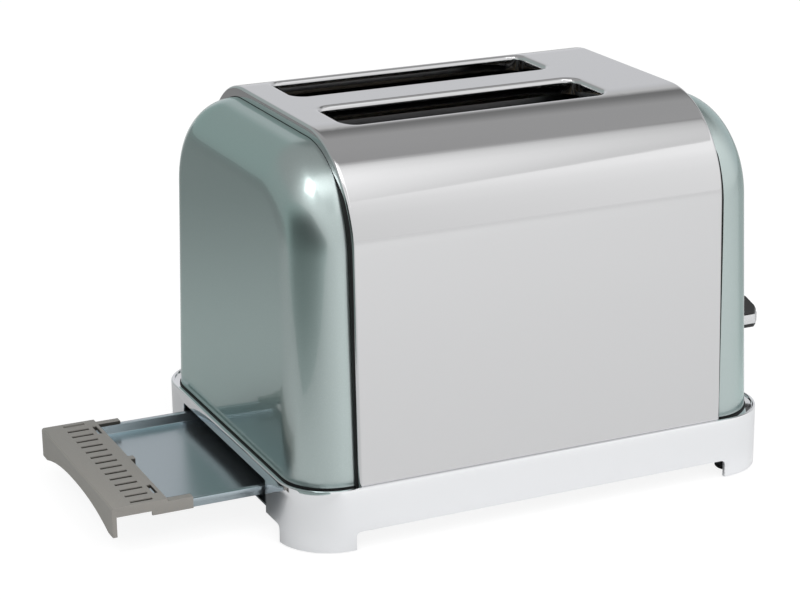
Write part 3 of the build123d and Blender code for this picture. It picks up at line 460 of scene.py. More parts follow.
uprights, first_x, last_x, wire_r = 8, -74.05, 51.45, 0.9
grid_tree, size = new_growth("wire_grid", uprights=uprights, wire=wire_r * MM,
    corner=(0.0, 0.0, 0.0), rail=(0.1, 0.0, 0.0), rise=(0.0, 0.0, 0.1), first=(0.0, 0.0, 0.0),
    pitch=((last_x - first_x) / (uprights - 1) * MM, 0.0, 0.0))
tree = grid_tree
wires = []
for count, start, step, run in ((2, size["corner"], size["rise"], size["rail"]),
        (size["uprights"], size["first"], size["pitch"], size["rise"])):
    feet = put(tree, "MeshLine", {"Count": count, "Start Location": start, "Offset": step})
    rod = put(tree, "CurvePrimitiveLine", {"End": run})
    wires.append(put(tree, "InstanceOnPoints", {"Points": feet, "Instance": rod}))
wires = put(tree, "JoinGeometry", {"Geometry": wires})
end_growth(tree, wire_along(tree, wires, size["wire"], 14), chromed_wire)
for label in ("front_slot_front", "front_slot_rear", "rear_slot_front", "rear_slot_rear"):
    low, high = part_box(label + "_guide")
    y, z = (low.y + high.y) / 2, low.z + wire_r * MM
    grid = grow(label + "_wires", grid_tree, corner=(low.x, y, z), first=(first_x * MM, y, z),
        rail=(high.x - low.x, 0.0, 0.0), rise=(0.0, 0.0, high.z - low.z - 2 * wire_r * MM))
    belongs(sharpen(grid), label + "_grid", "guide_wire", label + "_guide")

# LIFT CARRIAGE, LATCH AND SPRING
# The lever arm, the carriage on its two ground rods, the magnet that holds it down, the mains
# switch beside it and the long spring that lifts it again.
# Ground steel: bright, cold and nearly smooth.
ground_steel = new_finish("ground_steel", {"Base Color": linear("#B9BABC"), "Metallic": 1.0},
    ("Noise", "Fac", {"Scale": 1100.0}, {"Roughness": (0.14, 0.24)}))
# Enamelled copper wire: orange-brown turns with a varnish gloss, drawn 0.6 mm apart.
enamelled_copper = new_finish("enamelled_copper", {"Metallic": 0.8, "Roughness": 0.3,
    "Coat Weight": 0.8}, ("Wave", "Fac", {"Scale": 520.0}, {"Base Color": ("#5E2A14", "#B0602F"),
    "Normal": (0.6, 0.3)}))
enamelled_copper.node_tree.nodes["Wave Texture"].bands_direction = "Z"
# Moulded black ABS: deep satin black with a fine spark-eroded grain.
black_abs = new_finish("black_abs", {}, ("Noise", "Fac", {"Scale": 2200.0, "Detail": 1.0},
    {"Base Color": ("#121213", "#1B1B1C"), "Roughness": (0.26, 0.38), "Normal": (0.08, 0.2)}))
dress(ground_steel, "lever_arm", "guide_rods", "magnet_core", "latch_armature", "dial_shaft")
dress(enamelled_copper, "magnet_coil")
dress(black_abs, "mains_switch", "terminal_block", "browning_potentiometer", "button_switches")

# The spring is one fixed coil as tall as the CAD spring, with its upper end at the bracket; it
# doesn't follow the carriage.
spring_wire = 0.5
tree, size = new_growth("lift_coil", radius=3.1 * MM, wire=spring_wire * MM, turns=20.0,
    height=90.0 * MM)
coil = put(tree, "CurveSpiral", {"Resolution": 24, "Rotations": size["turns"],
    "Start Radius": size["radius"], "End Radius": size["radius"], "Height": size["height"]})
end_growth(tree, wire_along(tree, coil, size["wire"], 8), ground_steel, size["spots"])
low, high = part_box("lift_spring")
foot = Vector(((low.x + high.x) / 2, (low.y + high.y) / 2, low.z + spring_wire * MM))
spring = grow("lift_spring_coil", tree, [foot / MM], height=high.z - low.z - 2 * spring_wire * MM)
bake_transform(sharpen(spring, 50))
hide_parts("lift_spring")

# CONTROL BOARD
# A glass-epoxy board on four nylon posts behind the lever end, with the button switches, the
# browning potentiometer and the indicator lights.
# Solder mask over glass epoxy: green gloss, with darker tracks about 2 mm wide.
solder_mask, tree, place = bare_finish("solder_mask")
tracks = put(tree, "TexBrick", {"Vector": place, "Scale": 220.0, "Color1": linear("#2A6B43"),
    "Color2": linear("#23603A"), "Mortar": linear("#174A2A")})
skin = put(tree, "BsdfPrincipled", {"Base Color": tracks, "Roughness": 0.25, "Coat Weight": 0.5})
put(tree, "OutputMaterial", {"Surface": skin})
# Natural nylon: milky white, waxy and a little cloudy.
natural_nylon = new_finish("natural_nylon", {"Roughness": 0.45},
    ("Noise", "Fac", {"Scale": 90.0}, {"Base Color": ("#D3D0C4", "#E4E2D8")}))
dress(solder_mask, "control_board")
dress(natural_nylon, "board_posts")

# WRAP
# One stainless sheet over both long sides and the top, buffed bright, folded in at both ends and
# rolled down round the two bread slots.
# Buffed stainless: soft mirror, with polishing lines along the length too fine to see one by one,
# so they are drawn about 0.6 mm apart.
buffed_stainless = new_finish("buffed_stainless",
    {"Base Color": linear("#CDCDCE"), "Metallic": 1.0}, ("Noise", "Fac", {"Scale": 1.0},
    {"Normal": (0.02, 0.2)}, (12.0, 1600.0, 1600.0)),
    ("Noise", "Fac", {"Scale": 14.0, "Detail": 3.0}, {"Roughness": (0.05, 0.08)}))

wrap_half_len, wrap_half_wid, wrap_top, wrap_r, wrap_lean = 96.7, 95.4, 190.0, 50.0, 1.8
wrap_thick, wrap_end_r, wrap_return, wrap_return_top = 0.8, 1.6, 3.5, 5.1
slot_len, slot_wid, slot_shift, slot_pitch = 137.5, 36.0, -11.3, 60.0
slot_corner_r, slot_lip_r, slot_lip_deep = 7.0, 2.4, 8.0


class Loaf:
    """Outline of the body across its length, measured along the sheet from its middle line."""

    def __init__(self, half, low, top, corner, lean):
        a = math.radians(lean)
        self.low, self.top, self.corner, self.a = low, top, corner, a
        touch_z = top - corner + corner * math.sin(a)
        self.mid = half - math.tan(a) * (touch_z - low) - corner * math.cos(a)
        self.bend_end = self.mid + corner * (math.pi / 2 - a)
        self.end = self.bend_end + (touch_z - low) / math.cos(a)

    def at(self, s):
        """Point and outward direction, both as (y, z), at a distance along the sheet."""
        way, s = (1 if s >= 0 else -1), abs(s)
        if s <= self.mid:
            return (way * s, self.top), (0.0, 1.0)
        t = min((s - self.mid) / self.corner, math.pi / 2 - self.a)
        down = max(s - self.bend_end, 0.0)
        y = self.mid + self.corner * math.sin(t) + down * math.sin(self.a)
        z = self.top - self.corner + self.corner * math.cos(t) - down * math.cos(self.a)
        return (way * y, z), (way * math.sin(t), math.cos(t))


def graded(*legs, end):
    """Places from leg to leg, each leg given as (where it starts, how many steps it takes)."""
    places = []
    for (start, count), stop in zip(legs, [leg[0] for leg in legs[1:]] + [end]):
        places += [start + (stop - start) * i / count for i in range(count)]
    return places + [end]


def both_ways(places):
    """Places from 0 on, with their mirror images before them."""
    return [-place for place in reversed(places)] + places[1:]


# The sheet is a grid. Each slot takes a field out of it, and finer steps lie round its corners.
wrap_form = Loaf(wrap_half_wid, ledge_z, wrap_top, wrap_r, wrap_lean)
flat_end = wrap_half_len - wrap_end_r
edge_line, near_x, near_s, room_x, room_s = 0.5, 16.0, 13.0, 8.0, 5.6
field_half, slot_mid = slot_wid / 2 + room_s, slot_pitch / 2
field_x0 = slot_shift - slot_len / 2 - room_x
field_x1 = slot_shift + slot_len / 2 + room_x
field_s0, field_s1 = slot_mid - field_half, slot_mid + field_half
grid_x = graded((-flat_end, 1), (edge_line - flat_end, 3), (field_x0, 12), (field_x0 + near_x, 18),
    (field_x1 - near_x, 12), (field_x1, 6), (flat_end - edge_line, 1), end=flat_end)
grid_s = both_ways(graded((0, 2), (field_s0, 10), (field_s0 + near_s, 6), (field_s1 - near_s, 10),
    (field_s1, 26), (wrap_form.bend_end, 16), end=wrap_form.end))
points, faces, numbers = [], [], {}


def on_wrap(x, s, deep=0.0):
    """Point of the sheet, or of a layer under it."""
    (y, z), n = wrap_form.at(s)
    return Vector((x, y - n[0] * deep, z - n[1] * deep)) * MM


def fold_deep(s):
    """How far the folded end of the sheet reaches in."""
    return wrap_return + (wrap_return_top - wrap_return) * wrap_form.at(s)[1][1]


def corner_at(i, j):
    """Number of the grid's point, which is made when it is first asked for."""
    if (i, j) not in numbers:
        numbers[i, j] = add_row(points, [on_wrap(grid_x[i], grid_s[j])])[0]
    return numbers[i, j]


def lip_point(x, s, mid_s):
    """Nearest point of the rolled lip's outer outline, and the way from it into the slot."""
    hx, hs = slot_len / 2 - slot_corner_r, slot_wid / 2 - slot_corner_r
    dx, ds = x - slot_shift, s - mid_s
    px, ps = max(-hx, min(hx, dx)), max(-hs, min(hs, ds))
    ex, es = dx - px, ds - ps
    if abs(ex) < 1e-9 and abs(es) < 1e-9:
        es = 1.0 if ds > 0 else -1.0
    far = math.hypot(ex, es)
    ex, es, r = ex / far, es / far, slot_corner_r + slot_lip_r
    return slot_shift + px + ex * r, mid_s + ps + es * r, -ex, -es


for i in range(len(grid_x) - 1):
    for j in range(len(grid_s) - 1):
        x, s = (grid_x[i] + grid_x[i + 1]) / 2, (grid_s[j] + grid_s[j + 1]) / 2
        if not (field_x0 < x < field_x1 and field_s0 < abs(s) < field_s1):
            faces.append((corner_at(i, j), corner_at(i + 1, j), corner_at(i + 1, j + 1),
                corner_at(i, j + 1)))

arc_steps = 6
arc = [math.pi / 2 * step / arc_steps for step in range(1, arc_steps + 1)]
for mid_s in (-slot_mid, slot_mid):
    i0, i1 = grid_x.index(field_x0), grid_x.index(field_x1)
    j0, j1 = (min(range(len(grid_s)), key=lambda j: abs(grid_s[j] - s))
        for s in (mid_s - field_half, mid_s + field_half))
    border = ([(i, j0) for i in range(i0, i1)] + [(i1, j) for j in range(j0, j1)]
        + [(i, j1) for i in range(i1, i0, -1)] + [(i0, j) for j in range(j1, j0, -1)])
    lips = [lip_point(grid_x[i], grid_s[j], mid_s) for i, j in border]
    rows = [[corner_at(i, j) for i, j in border]]
    for part in (0.35, 0.7, 1.0):
        rows.append(add_row(points, [on_wrap(grid_x[i] + (px - grid_x[i]) * part,
            grid_s[j] + (ps - grid_s[j]) * part) for (i, j), (px, ps, _, _) in zip(border, lips)]))
    for turn in arc:
        reach, drop = slot_lip_r * math.sin(turn), slot_lip_r * (1 - math.cos(turn))
        fall = Vector((0, 0, drop * MM))
        rows.append(add_row(points, [on_wrap(px + wx * reach, ps + ws * reach) - fall
            for px, ps, wx, ws in lips]))
    rows.append(add_row(points, [(points[k].x, points[k].y, (wrap_top - slot_lip_deep) * MM)
        for k in rows[-1]]))
    faces += bridge(rows, True)

# Ends: round the edge over, then fold the sheet in beside the panel.
for sign, i in ((-1, 0), (1, len(grid_x) - 1)):
    rows = [[corner_at(i, j) for j in range(len(grid_s))]]
    for turn in arc:
        x, deep = flat_end + wrap_end_r * math.sin(turn), wrap_end_r * (1 - math.cos(turn))
        rows.append(add_row(points, [on_wrap(sign * x, s, deep) for s in grid_s]))
    rows.append(add_row(points, [on_wrap(sign * wrap_half_len, s, fold_deep(s)) for s in grid_s]))
    faces += bridge(rows)


def sheet_metal(piece, thick, measure, way):
    """Gives an open sheet its thickness inwards; the face of the highest measure looks one way."""
    with reshaped(piece) as form:
        bmesh.ops.recalc_face_normals(form, faces=form.faces)
        if max(form.faces, key=measure).normal.dot(Vector(way)) < 0:
            bmesh.ops.reverse_faces(form, faces=form.faces)
    sheet = piece.modifiers.new("sheet", "SOLIDIFY")
    sheet.thickness, sheet.offset = thick * MM, -1
    return settle(piece)


wrap = sheet_metal(piece_from("wrap_skin", points, faces, buffed_stainless), wrap_thick,
    lambda face: face.calc_center_median().z, (0, 0, 1))
belongs(sharpen(wrap, 50), "housing", "polished_stainless", "wrap_shell")

# END PANELS
# Two deep-drawn steel domes, enamelled pale pearl green, tucked behind the folded wrap ends.
# Pearl enamel: green-grey pigment with fine mica flakes under a clear gloss coat.
pearl_enamel = new_finish("pearl_enamel", {"Metallic": 1.0, "Roughness": 0.32,
    "Specular Tint": linear("#B4D8D3"), "Coat Weight": 1.0, "Coat Roughness": 0.04,
    "Coat IOR": 1.7}, ("Voronoi", "Distance", {"Scale": 2600.0},
    {"Base Color": ("#A9B7B5", "#B2BFBE")}), ("Noise", "Fac", {"Scale": 320.0, "Detail": 1.0},
    {"Coat Normal": (0.03, 0.2)}))

panel_reach, panel_end_lean, panel_round, panel_thick = 124.0, 1.2, 24.0, 1.2
panel_gap, panel_tuck = 0.3, 3.2
panel_foot = wrap_half_wid - wrap_return - panel_gap
panel_form = Loaf(panel_foot, ledge_z, wrap_top - wrap_return_top - panel_gap,
    wrap_r - wrap_return - panel_gap, wrap_lean)
panel_s = both_ways(graded((0, 10), (panel_form.mid, 24), (panel_form.bend_end, 16),
    end=panel_form.end))


def panel_face(z):
    """How far out the leaning end of a panel stands at a height."""
    return panel_reach - math.tan(math.radians(panel_end_lean)) * (z - ledge_z)


def panel_mesh(name, side):
    """One domed panel; side is -1 for the tray end and 1 for the lever end."""
    points, rows = [], []
    for turn in [None] + graded((0, 14), end=90):
        t = math.radians(turn or 0)
        deep = panel_round * (1 - math.cos(t))
        row = []
        for s in panel_s:
            (y, z), n = panel_form.at(s)
            y, z = y - n[0] * deep, z - n[1] * deep
            x = panel_face(z) - panel_round + panel_round * math.sin(t)
            if turn is None:
                x = wrap_half_len - panel_tuck
            row.append((side * x * MM, y * MM, max(z, ledge_z) * MM))
        rows.append(add_row(points, row))
    dome = piece_from(name, points, bridge(rows) + [rows[-1]], pearl_enamel)
    return sheet_metal(dome, panel_thick, lambda face: len(face.verts), (side, 0, 0))


def block(name, x, y, z, finish):
    """Box between two values on each axis."""
    points = [(a * MM, b * MM, c * MM) for a in x for b in y for c in z]
    faces = [(0, 1, 3, 2), (4, 6, 7, 5), (0, 4, 5, 1), (2, 3, 7, 6), (0, 2, 6, 4), (1, 5, 7, 3)]
    return outwards(piece_from(name, points, faces, finish, False))


control_y, button_r, lamp_r, lamp_off, dial_z = 56.0, 5.5, 1.5, 11.0, 62.0
button_zs = [92.0 + 15.0 * i for i in range(4)]
button_hole, lamp_hole, shaft_hole, hole_from, hole_deep = 5.9, 1.55, 4.0, 100.0, 30.0
lever_slot_y, lever_slot_z = (-2.8, 2.8), (53.6, 103.8)
for side, end in ((-1, "left"), (1, "right")):
    panel = panel_mesh(end + "_panel_skin", side)
    if side > 0:
        cutters = [block("lever_slot", (hole_from, hole_from + hole_deep), lever_slot_y,
            lever_slot_z, pearl_enamel)]
        for y, zs, r, sides in ((control_y, button_zs, button_hole, 40),
                (control_y - lamp_off, button_zs, lamp_hole, 20),
                (control_y, [dial_z], shaft_hole, 40)):
            cutters.append(turned("holes", [(hole_from, y, z) for z in zs],
                [(r, 0.0), (r, hole_deep)], pearl_enamel, "x", sides))
        cut_away(panel, *cutters)
    belongs(sharpen(panel, 40), "housing", "green_paint", end + "_end_panel")

# SEAM SHADE BEADS
# Black beads that draw dark gaps as painted shade: one in the fold of the wrap at both ends,
# against the panel, thin over the top and broad down the sides, and one on the ledge round the foot
# of the body.
# Painted gap shade: nearly black, with a soft even shine and a little bloom.
gap_shade_black = new_finish("gap_shade_black", {"Roughness": 0.55, "Specular IOR Level": 0.2},
    ("Noise", "Fac", {"Scale": 420.0}, {"Base Color": ("#08090A", "#121414")}))

shade_bead_thick, shade_bead_thin, shade_bead_wide, shade_bead_slim = 0.8, 0.15, 3.1, 0.1
shade_bead_root, shade_bead_sunk, shade_bead_round = 0.2, 0.25, 0.2
broad_from = wrap_form.mid + (wrap_form.bend_end - wrap_form.mid) * 0.46
broad_over, taper_from, taper_over, taper = 19.0, broad_from + 60.0, 80.0, 0.4


def share(value, start, over):
    """How far a value is through a stretch, from 0 to 1."""
    return min(max((value - start) / over, 0.0), 1.0)


points, faces = [], []
for sign in (-1, 1):
    rows = []
    for s in grid_s:
        broad = share(abs(s), broad_from, broad_over)
        slim = 1 - taper * share(abs(s), taper_from, taper_over)
        proud = shade_bead_thin + (shade_bead_thick - shade_bead_thin) * broad
        bed = fold_deep(s) + shade_bead_sunk
        edge = bed - shade_bead_slim - (shade_bead_wide - shade_bead_slim) * broad * slim
        profile = ((bed, -shade_bead_root), (bed, proud), (edge + shade_bead_round, proud), (edge, proud / 2),
            (edge, -shade_bead_root))
        rows.append(add_row(points, [on_wrap(sign * (wrap_half_len + x), s, deep)
            for deep, x in profile]))
    faces += bridge(rows, True) + [rows[0], rows[-1][::-1]]
# Painted shade: this black bead fills the fold where the gap between wrap and panel lies in shadow.
gap_shade_beads = outwards(piece_from("seam_gap_shade", points, faces, gap_shade_black))
belongs(sharpen(gap_shade_beads), "housing", "pad_rubber")

bead_high, bead_out, bead_wid = 0.6, 0.6, 0.9
# Painted shade: black beads on the ledge draw the dark gap line between the body and the base.
bead = ring_solid("panel_foot_bead", [(0, ledge_z), (0.1, ledge_z + bead_high * 0.7),
    (0.4, ledge_z + bead_high), (bead_wid, ledge_z + bead_high), (bead_wid, ledge_z)],
    2 * (panel_reach + bead_out), 2 * (panel_foot + bead_out), panel_round + bead_out,
    gap_shade_black)
belongs(sharpen(outwards(bead)), "housing", "pad_rubber")
for side, word in ((-1, "front"), (1, "rear")):
    edges = [side * (wrap_half_wid + out) for out in (bead_out - bead_wid, bead_out)]
    bead = block(word + "_foot_bead", (-wrap_half_len, wrap_half_len), sorted(edges),
        (ledge_z, ledge_z + bead_high), gap_shade_black)
    belongs(bead, "housing", "pad_rubber")

# LEVER KNOB
# A moulded black wedge on the end of the lever arm, with a bright aluminium band let into its
# nose and sides, and a grip lip under the band.
# Brushed aluminium strip: silver, brushed along its length with lines drawn about 0.3 mm apart.
brushed_strip = new_finish("brushed_strip", {"Base Color": linear("#D8D9DA"), "Metallic": 1.0},
    ("Noise", "Fac", {"Scale": 1.0}, {"Roughness": (0.20, 0.36)}, (20.0, 20.0, 3000.0)))


def eased(node, name, finish, width, segments=3):
    """Copy of a CAD node with its flats merged and its edges rounded to a width in mm."""
    piece = stand(name, cad[node].data.copy())
    with reshaped(piece) as form:
        bmesh.ops.remove_doubles(form, verts=form.verts, dist=1e-6)
        bmesh.ops.dissolve_limit(form, angle_limit=math.radians(0.6), verts=form.verts,
            edges=form.edges)
    piece.data.materials.clear()
    piece.data.materials.append(finish)
    piece.data.shade_smooth()
    return soften(piece, width, segments, harden=True)


knob = eased("lever_knob", "knob_wedge", black_abs, 0.5)
belongs(knob, "lift_carriage", "black_plastic", "lever_knob")
band = eased("lever_knob_band", "knob_strip", brushed_strip, 0.2, 2)
belongs(band, "lift_carriage", "knob_band", "lever_knob_band")

# BUTTONS, LAMPS AND DIAL
# Four black push buttons with dished faces, a clear lens beside each, and the ribbed browning
# dial with its pointer line.
for number, z in enumerate(button_zs, 1):
    node = f"push_button_{number}"
    low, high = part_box(node)
    face = (high.x - low.x) / MM
    shoulder = face - 9.0
    button = turned(f"button_cap_{number}", [(low.x / MM, control_y, z)],
        [(2.0, 0.0), (2.0, shoulder), (button_r, shoulder), (button_r, face - 0.8),
        (button_r - 0.25, face - 0.3), (button_r - 0.8, face), (button_r - 1.4, face),
        (3.2, face - 0.35), (1.6, face - 0.55), (0.4, face - 0.6)], black_abs, "x")
    belongs(button, f"button_{number}", "black_plastic", node)

# Clear acrylic lens: water-clear, faintly blue and frosted inside.
acrylic_lens = new_finish("acrylic_lens",
    {"Roughness": 0.12, "IOR": 1.49, "Subsurface Weight": 0.3, "Coat Weight": 0.6},
    ("Noise", "Fac", {"Scale": 1500.0}, {"Base Color": ("#B9C9D6", "#D6E2EA")}))
lens_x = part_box("indicator_lights")[0].x / MM
lens_tip = panel_face(button_zs[-1]) + 0.4 - lens_x
lenses = turned("lamp_lenses", [(lens_x, control_y - lamp_off, z) for z in button_zs],
    [(lamp_r, 0.0), (lamp_r, lens_tip - 0.4), (lamp_r * 0.8, lens_tip - 0.1),
    (lamp_r * 0.4, lens_tip)], acrylic_lens, "x", 20)
belongs(lenses, "housing", "lamp_lens", "indicator_lights")

low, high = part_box("browning_dial")
dial_deep, grip_from, grip_len, grip_r = (high.x - low.x) / MM, 3.3, 9.0, 11.2
dial_core = turned("dial_core", [(low.x / MM, control_y, dial_z)],
    [(3.1, 0.0), (12.8, 0.0), (13.8, 0.5), (13.8, 2.6), (13.2, 3.2), (grip_r + 0.2, grip_from),
    (grip_r, dial_deep - 1.2), (10.8, dial_deep - 0.4), (10.0, dial_deep), (7.6, dial_deep),
    (7.2, dial_deep - 0.4), (0.5, dial_deep - 0.4)], black_abs, "x", 64)
belongs(dial_core, "dial", "black_plastic", "browning_dial")
tree, size = new_growth("dial_ribs", ribs=36, ring=grip_r * MM, rib=0.5 * MM, length=grip_len * MM,
    middle=(0.0, 0.0, 0.0))
circle = put(tree, "MeshCircle", {"Vertices": size["ribs"], "Radius": size["ring"]})
rib = put(tree, "MeshCylinder", {"Vertices": 10, "Radius": size["rib"], "Depth": size["length"]})
ring = put(tree, "InstanceOnPoints", {"Points": circle, "Instance": rib})
stood = put(tree, "Transform", {"Geometry": ring, "Translation": size["middle"],
    "Rotation": (0.0, math.pi / 2, 0.0)})
end_growth(tree, stood, black_abs)
ribs = grow("dial_grip_ribs", tree, middle=(low.x + (grip_from + grip_len / 2) * MM,
    control_y * MM, dial_z * MM))
belongs(sharpen(ribs), "dial", "black_plastic")

# Pad-printed pointer: off-white ink on a raised bar, a little uneven.
pad_ink = new_finish("pad_ink", {"Roughness": 0.5}, ("Noise", "Fac", {"Scale": 800.0},
    {"Base Color": ("#CFCFCB", "#E6E6E2")}))
face_x, pointer_half, pointer_from, pointer_to = high.x / MM, 0.5, dial_z + 3.5, dial_z + 10.2
pointer = block("dial_pointer", (face_x - 0.6, face_x - 0.05), (control_y - pointer_half,
    control_y + pointer_half), (pointer_from, pointer_to), pad_ink)
belongs(soften(pointer, 0.2), "dial", "black_plastic")

# CRUMB TRAY
# A folded zinc-coated pan with rolled side rims, clipped to a moulded grey handle. The handle
# has a row of cooling vents, two clip windows and an arched front wall.
# Zinc-aluminium coat on the pan: cool blue-grey, rolled smooth, with soft blurred reflections.
pan_coat = new_finish("pan_coat", {"Metallic": 0.95},
    ("Noise", "Fac", {"Scale": 1.0, "Detail": 3.0}, {"Base Color": ("#A9B5BB", "#ADB8BE"),
    "Roughness": (0.21, 0.26)}, (30.0, 500.0, 500.0)))
# Moulded grey ABS: warm mid grey with a fine matt grain, darkened inside the hood by painted shade.
grey_abs = new_finish("grey_abs", {"Roughness": 0.55}, ("Noise", "Fac",
    {"Scale": 1800.0, "Detail": 1.0}, {"Base Color": ("#8A8782", "#93908B"),
    "Normal": (0.12, 0.2)}))
# Painted shade: inside the hood, in the vents and under the plate, the grey is mixed to dark
# brown-grey in place of the shadow there.
hood_x, hood_half, hood_top = -200.8, 51.8, 24.7
tree = grey_abs.node_tree
place = put(tree, "TexCoord").outputs["Object"]
x, y, z = put(tree, "SeparateXYZ", {"Vector": place}).outputs
off_middle = put(tree, "Math", (y,), operation="ABSOLUTE")
inside = 1.0
for where, test, limit in ((x, "GREATER_THAN", hood_x * MM),
        (off_middle, "LESS_THAN", hood_half * MM), (z, "LESS_THAN", hood_top * MM)):
    met = put(tree, "Math", (where, limit), operation=test)
    inside = put(tree, "Math", (inside, met), operation="MULTIPLY")
tone = tree.nodes["skin"].inputs["Base Color"]
painted_hood_shade = put(tree, "Mix", {"Factor": inside, "A": tone.links[0].from_socket,
    "B": linear("#3A3732")}, data_type="RGBA")
tree.links.new(painted_hood_shade.outputs["Result"], tone)

# The pan's tongue is narrower than the pan, so that it fits inside the handle.
pan = eased("crumb_tray_pan", "tray_pan_sheet", pan_coat, 0.18, 2)
tongue_x, above = (-202.0, -176.4), 25.0
tongue_cuts = [block("tongue_cut", x, y, (z, above), pan_coat)
    for x, y, z in ((tongue_x, (-60.0, -43.0), 14.0), (tongue_x, (43.0, 60.0), 14.0),
    ((-178.0, -164.4), (51.9, 60.0), 17.4))]
cut_away(pan, *tongue_cuts)
belongs(pan, "crumb_tray", "zinc_sheet", "crumb_tray_pan")
handle = eased("crumb_tray_handle", "tray_grip", grey_abs, 0.3)
belongs(handle, "crumb_tray", "grey_plastic", "crumb_tray_handle")

# CORD OUTLET
# A black moulded gland in the lever end of the base. Its bore is open to the terminal block, which
# stands behind it.
gland = eased("cord_gland", "outlet_gland", black_abs, 0.4)
belongs(gland, "housing", "black_plastic", "cord_gland")

# CAMERA, LAMPS AND FLOOR
# A plain pale studio: white floor, pale walls under a greyer ceiling, a small lamp over the tray
# end, and two cards that only reflections show.
azimuth, elevation, roll = math.radians(-24.4768), math.radians(18.3291), math.radians(-0.6583)
back = Vector((math.sin(azimuth) * math.cos(elevation), -math.cos(azimuth) * math.cos(elevation),
    math.sin(elevation)))
right = Vector((math.cos(azimuth), math.sin(azimuth), 0.0))
up = back.cross(right)
right, up = (right * math.cos(roll) + up * math.sin(roll),
    up * math.cos(roll) - right * math.sin(roll))
eye = stand("photo_camera", bpy.data.cameras.new("photo_camera"))
eye.data.sensor_width, eye.data.lens = 36.0, 105.351
eye.data.shift_x, eye.data.shift_y = -0.00085, -0.00214
turn = Matrix((right, up, back)).transposed().to_4x4()
eye.matrix_world = Matrix.Translation((-0.49007, -1.00725, 0.45111)) @ turn
bpy.context.scene.camera = eye


def lamp(name, place, aim, size, radiance, colour="#FFFFFF"):
    """A soft rectangular lamp of a given brightness, which the camera doesn't see."""
    light = bpy.data.lights.new(name, "AREA")
    light.shape, light.size, light.size_y = "RECTANGLE", *size
    light.energy, light.color = radiance * math.pi * size[0] * size[1], linear(colour)[:3]
    holder = stand(name, light)
    holder.location = place
    holder.rotation_euler = (Vector(place) - Vector(aim)).to_track_quat("Z", "Y").to_euler()
    holder.visible_camera = False
    return holder


lamp("left_softbox", (-0.70, -0.32, 1.30), (-0.1, 0, 0.15), (0.44, 0.48), 3.7)
front_softbox = lamp("front_softbox", (0.22, -0.85, 1.2), (0.22, -0.85, 0.0), (0.95, 1.25), 1.8)
front_softbox.rotation_euler = (0.0, 0.0, math.radians(-17))
front_softbox.visible_glossy = False


def glow_along(tree, where, start, end, *stops):
    """Brightness that follows a value from start to end, by stops of (share, brightness, tint).

    A MapRange takes its inputs by place here: value, from, from, to, to.
    """
    way = put(tree, "MapRange", (where, start, end))
    ramp = put(tree, "ValToRGB", {"Fac": way})
    marks = ramp.color_ramp.elements
    while len(marks) < len(stops):
        marks.new(0.5)
    for mark, (place, bright, *tint) in zip(marks, stops):
        mark.position = place
        mark.color = [bright * c for c in linear(*(tint or ["#FFFFFF"]))[:3]] + [1.0]
    return ramp


# The walls: pale in front and brightest at eye height, blue-white behind, dim behind the tray end.
studio = bpy.data.worlds.new("studio")
bpy.context.scene.world = studio
studio.use_nodes = True
tree = studio.node_tree
tree.nodes.clear()
way = put(tree, "TexCoord").outputs["Generated"]
x, y, z = put(tree, "SeparateXYZ", {"Vector": way}).outputs
bluish, greenish = "#FBFCFF", "#F0FEFC"
front = glow_along(tree, z, 0.0, 1.0, (0.0, 1.09), (0.2, 1.11), (0.37, 1.14), (0.53, 1.22),
    (0.62, 1.32), (0.72, 1.33), (0.84, 0.49), (1.0, 0.47))
rear_right = glow_along(tree, z, 0.0, 1.0, (0.0, 0.78, bluish), (0.33, 0.76, bluish), (0.49, 0.68),
    (0.6, 0.23), (0.67, 0.28), (0.78, 0.47))
rear_left = glow_along(tree, z, 0.0, 1.0, (0.0, 0.5, greenish), (0.42, 0.51, greenish),
    (0.55, 0.47), (1.0, 0.47))
left_fall = put(tree, "MapRange", (x, 0.36, 0.52, 0.88, 1.0))
front = put(tree, "Mix", {"Factor": 1.0, "A": front, "B": left_fall}, data_type="RGBA",
    blend_type="MULTIPLY")
side = put(tree, "MapRange", (x, 0.05, 0.16))
ahead = put(tree, "MapRange", (y, 0.25, -0.25))
rear = put(tree, "Mix", {"Factor": side, "A": rear_left, "B": rear_right}, data_type="RGBA")
both = put(tree, "Mix", {"Factor": ahead, "A": rear, "B": front}, data_type="RGBA")
ground = put(tree, "Background", {"Color": both})
put(tree, "OutputWorld", {"Surface": ground})


def patch(tree, *edges):
    """1 where each value is before its edge, 0 past it; an edge is (value, start, end)."""
    whole = 1.0
    for where, start, end in edges:
        fade = put(tree, "MapRange", (where, start, end, 1.0, 0.0),
            interpolation_type="SMOOTHSTEP")
        whole = put(tree, "Math", (whole, fade), operation="MULTIPLY")
    return whole


# White sweep: white to the camera. Mirrors see it too, with the shadows on it, and dimmer behind
# the tray end.
white_sweep, tree, place = bare_finish("white_sweep")
x, y, z = put(tree, "SeparateXYZ", {"Vector": place}).outputs
deepen = put(tree, "MapRange", (y, 0.15, 0.6, -0.2, -0.5167), interpolation_type="SMOOTHSTEP")
tone = 0.95
for where, change in ((patch(tree, (y, 0.12, -0.14), (x, -0.2, 0.06)), deepen),
        (patch(tree, (y, -0.02, -0.12), (x, 0.32, 0.22)), -0.29),
        (patch(tree, (x, -0.17, -0.06)), -0.16)):
    kept = put(tree, "Math", (where, change, 1.0), operation="MULTIPLY_ADD")
    tone = put(tree, "Math", (tone, kept), operation="MULTIPLY")
matt = put(tree, "BsdfDiffuse", {"Color": tone})
glow = put(tree, "Emission", {"Color": tone, "Strength": 1.3})
away = put(tree, "MapRange", (y, -0.4, -1.4, 0.04, 0.55))
seen = put(tree, "MixShader", (away, matt, glow))
plain = put(tree, "BsdfDiffuse", {"Color": linear("#E4E4E4")})
path = put(tree, "LightPath").outputs
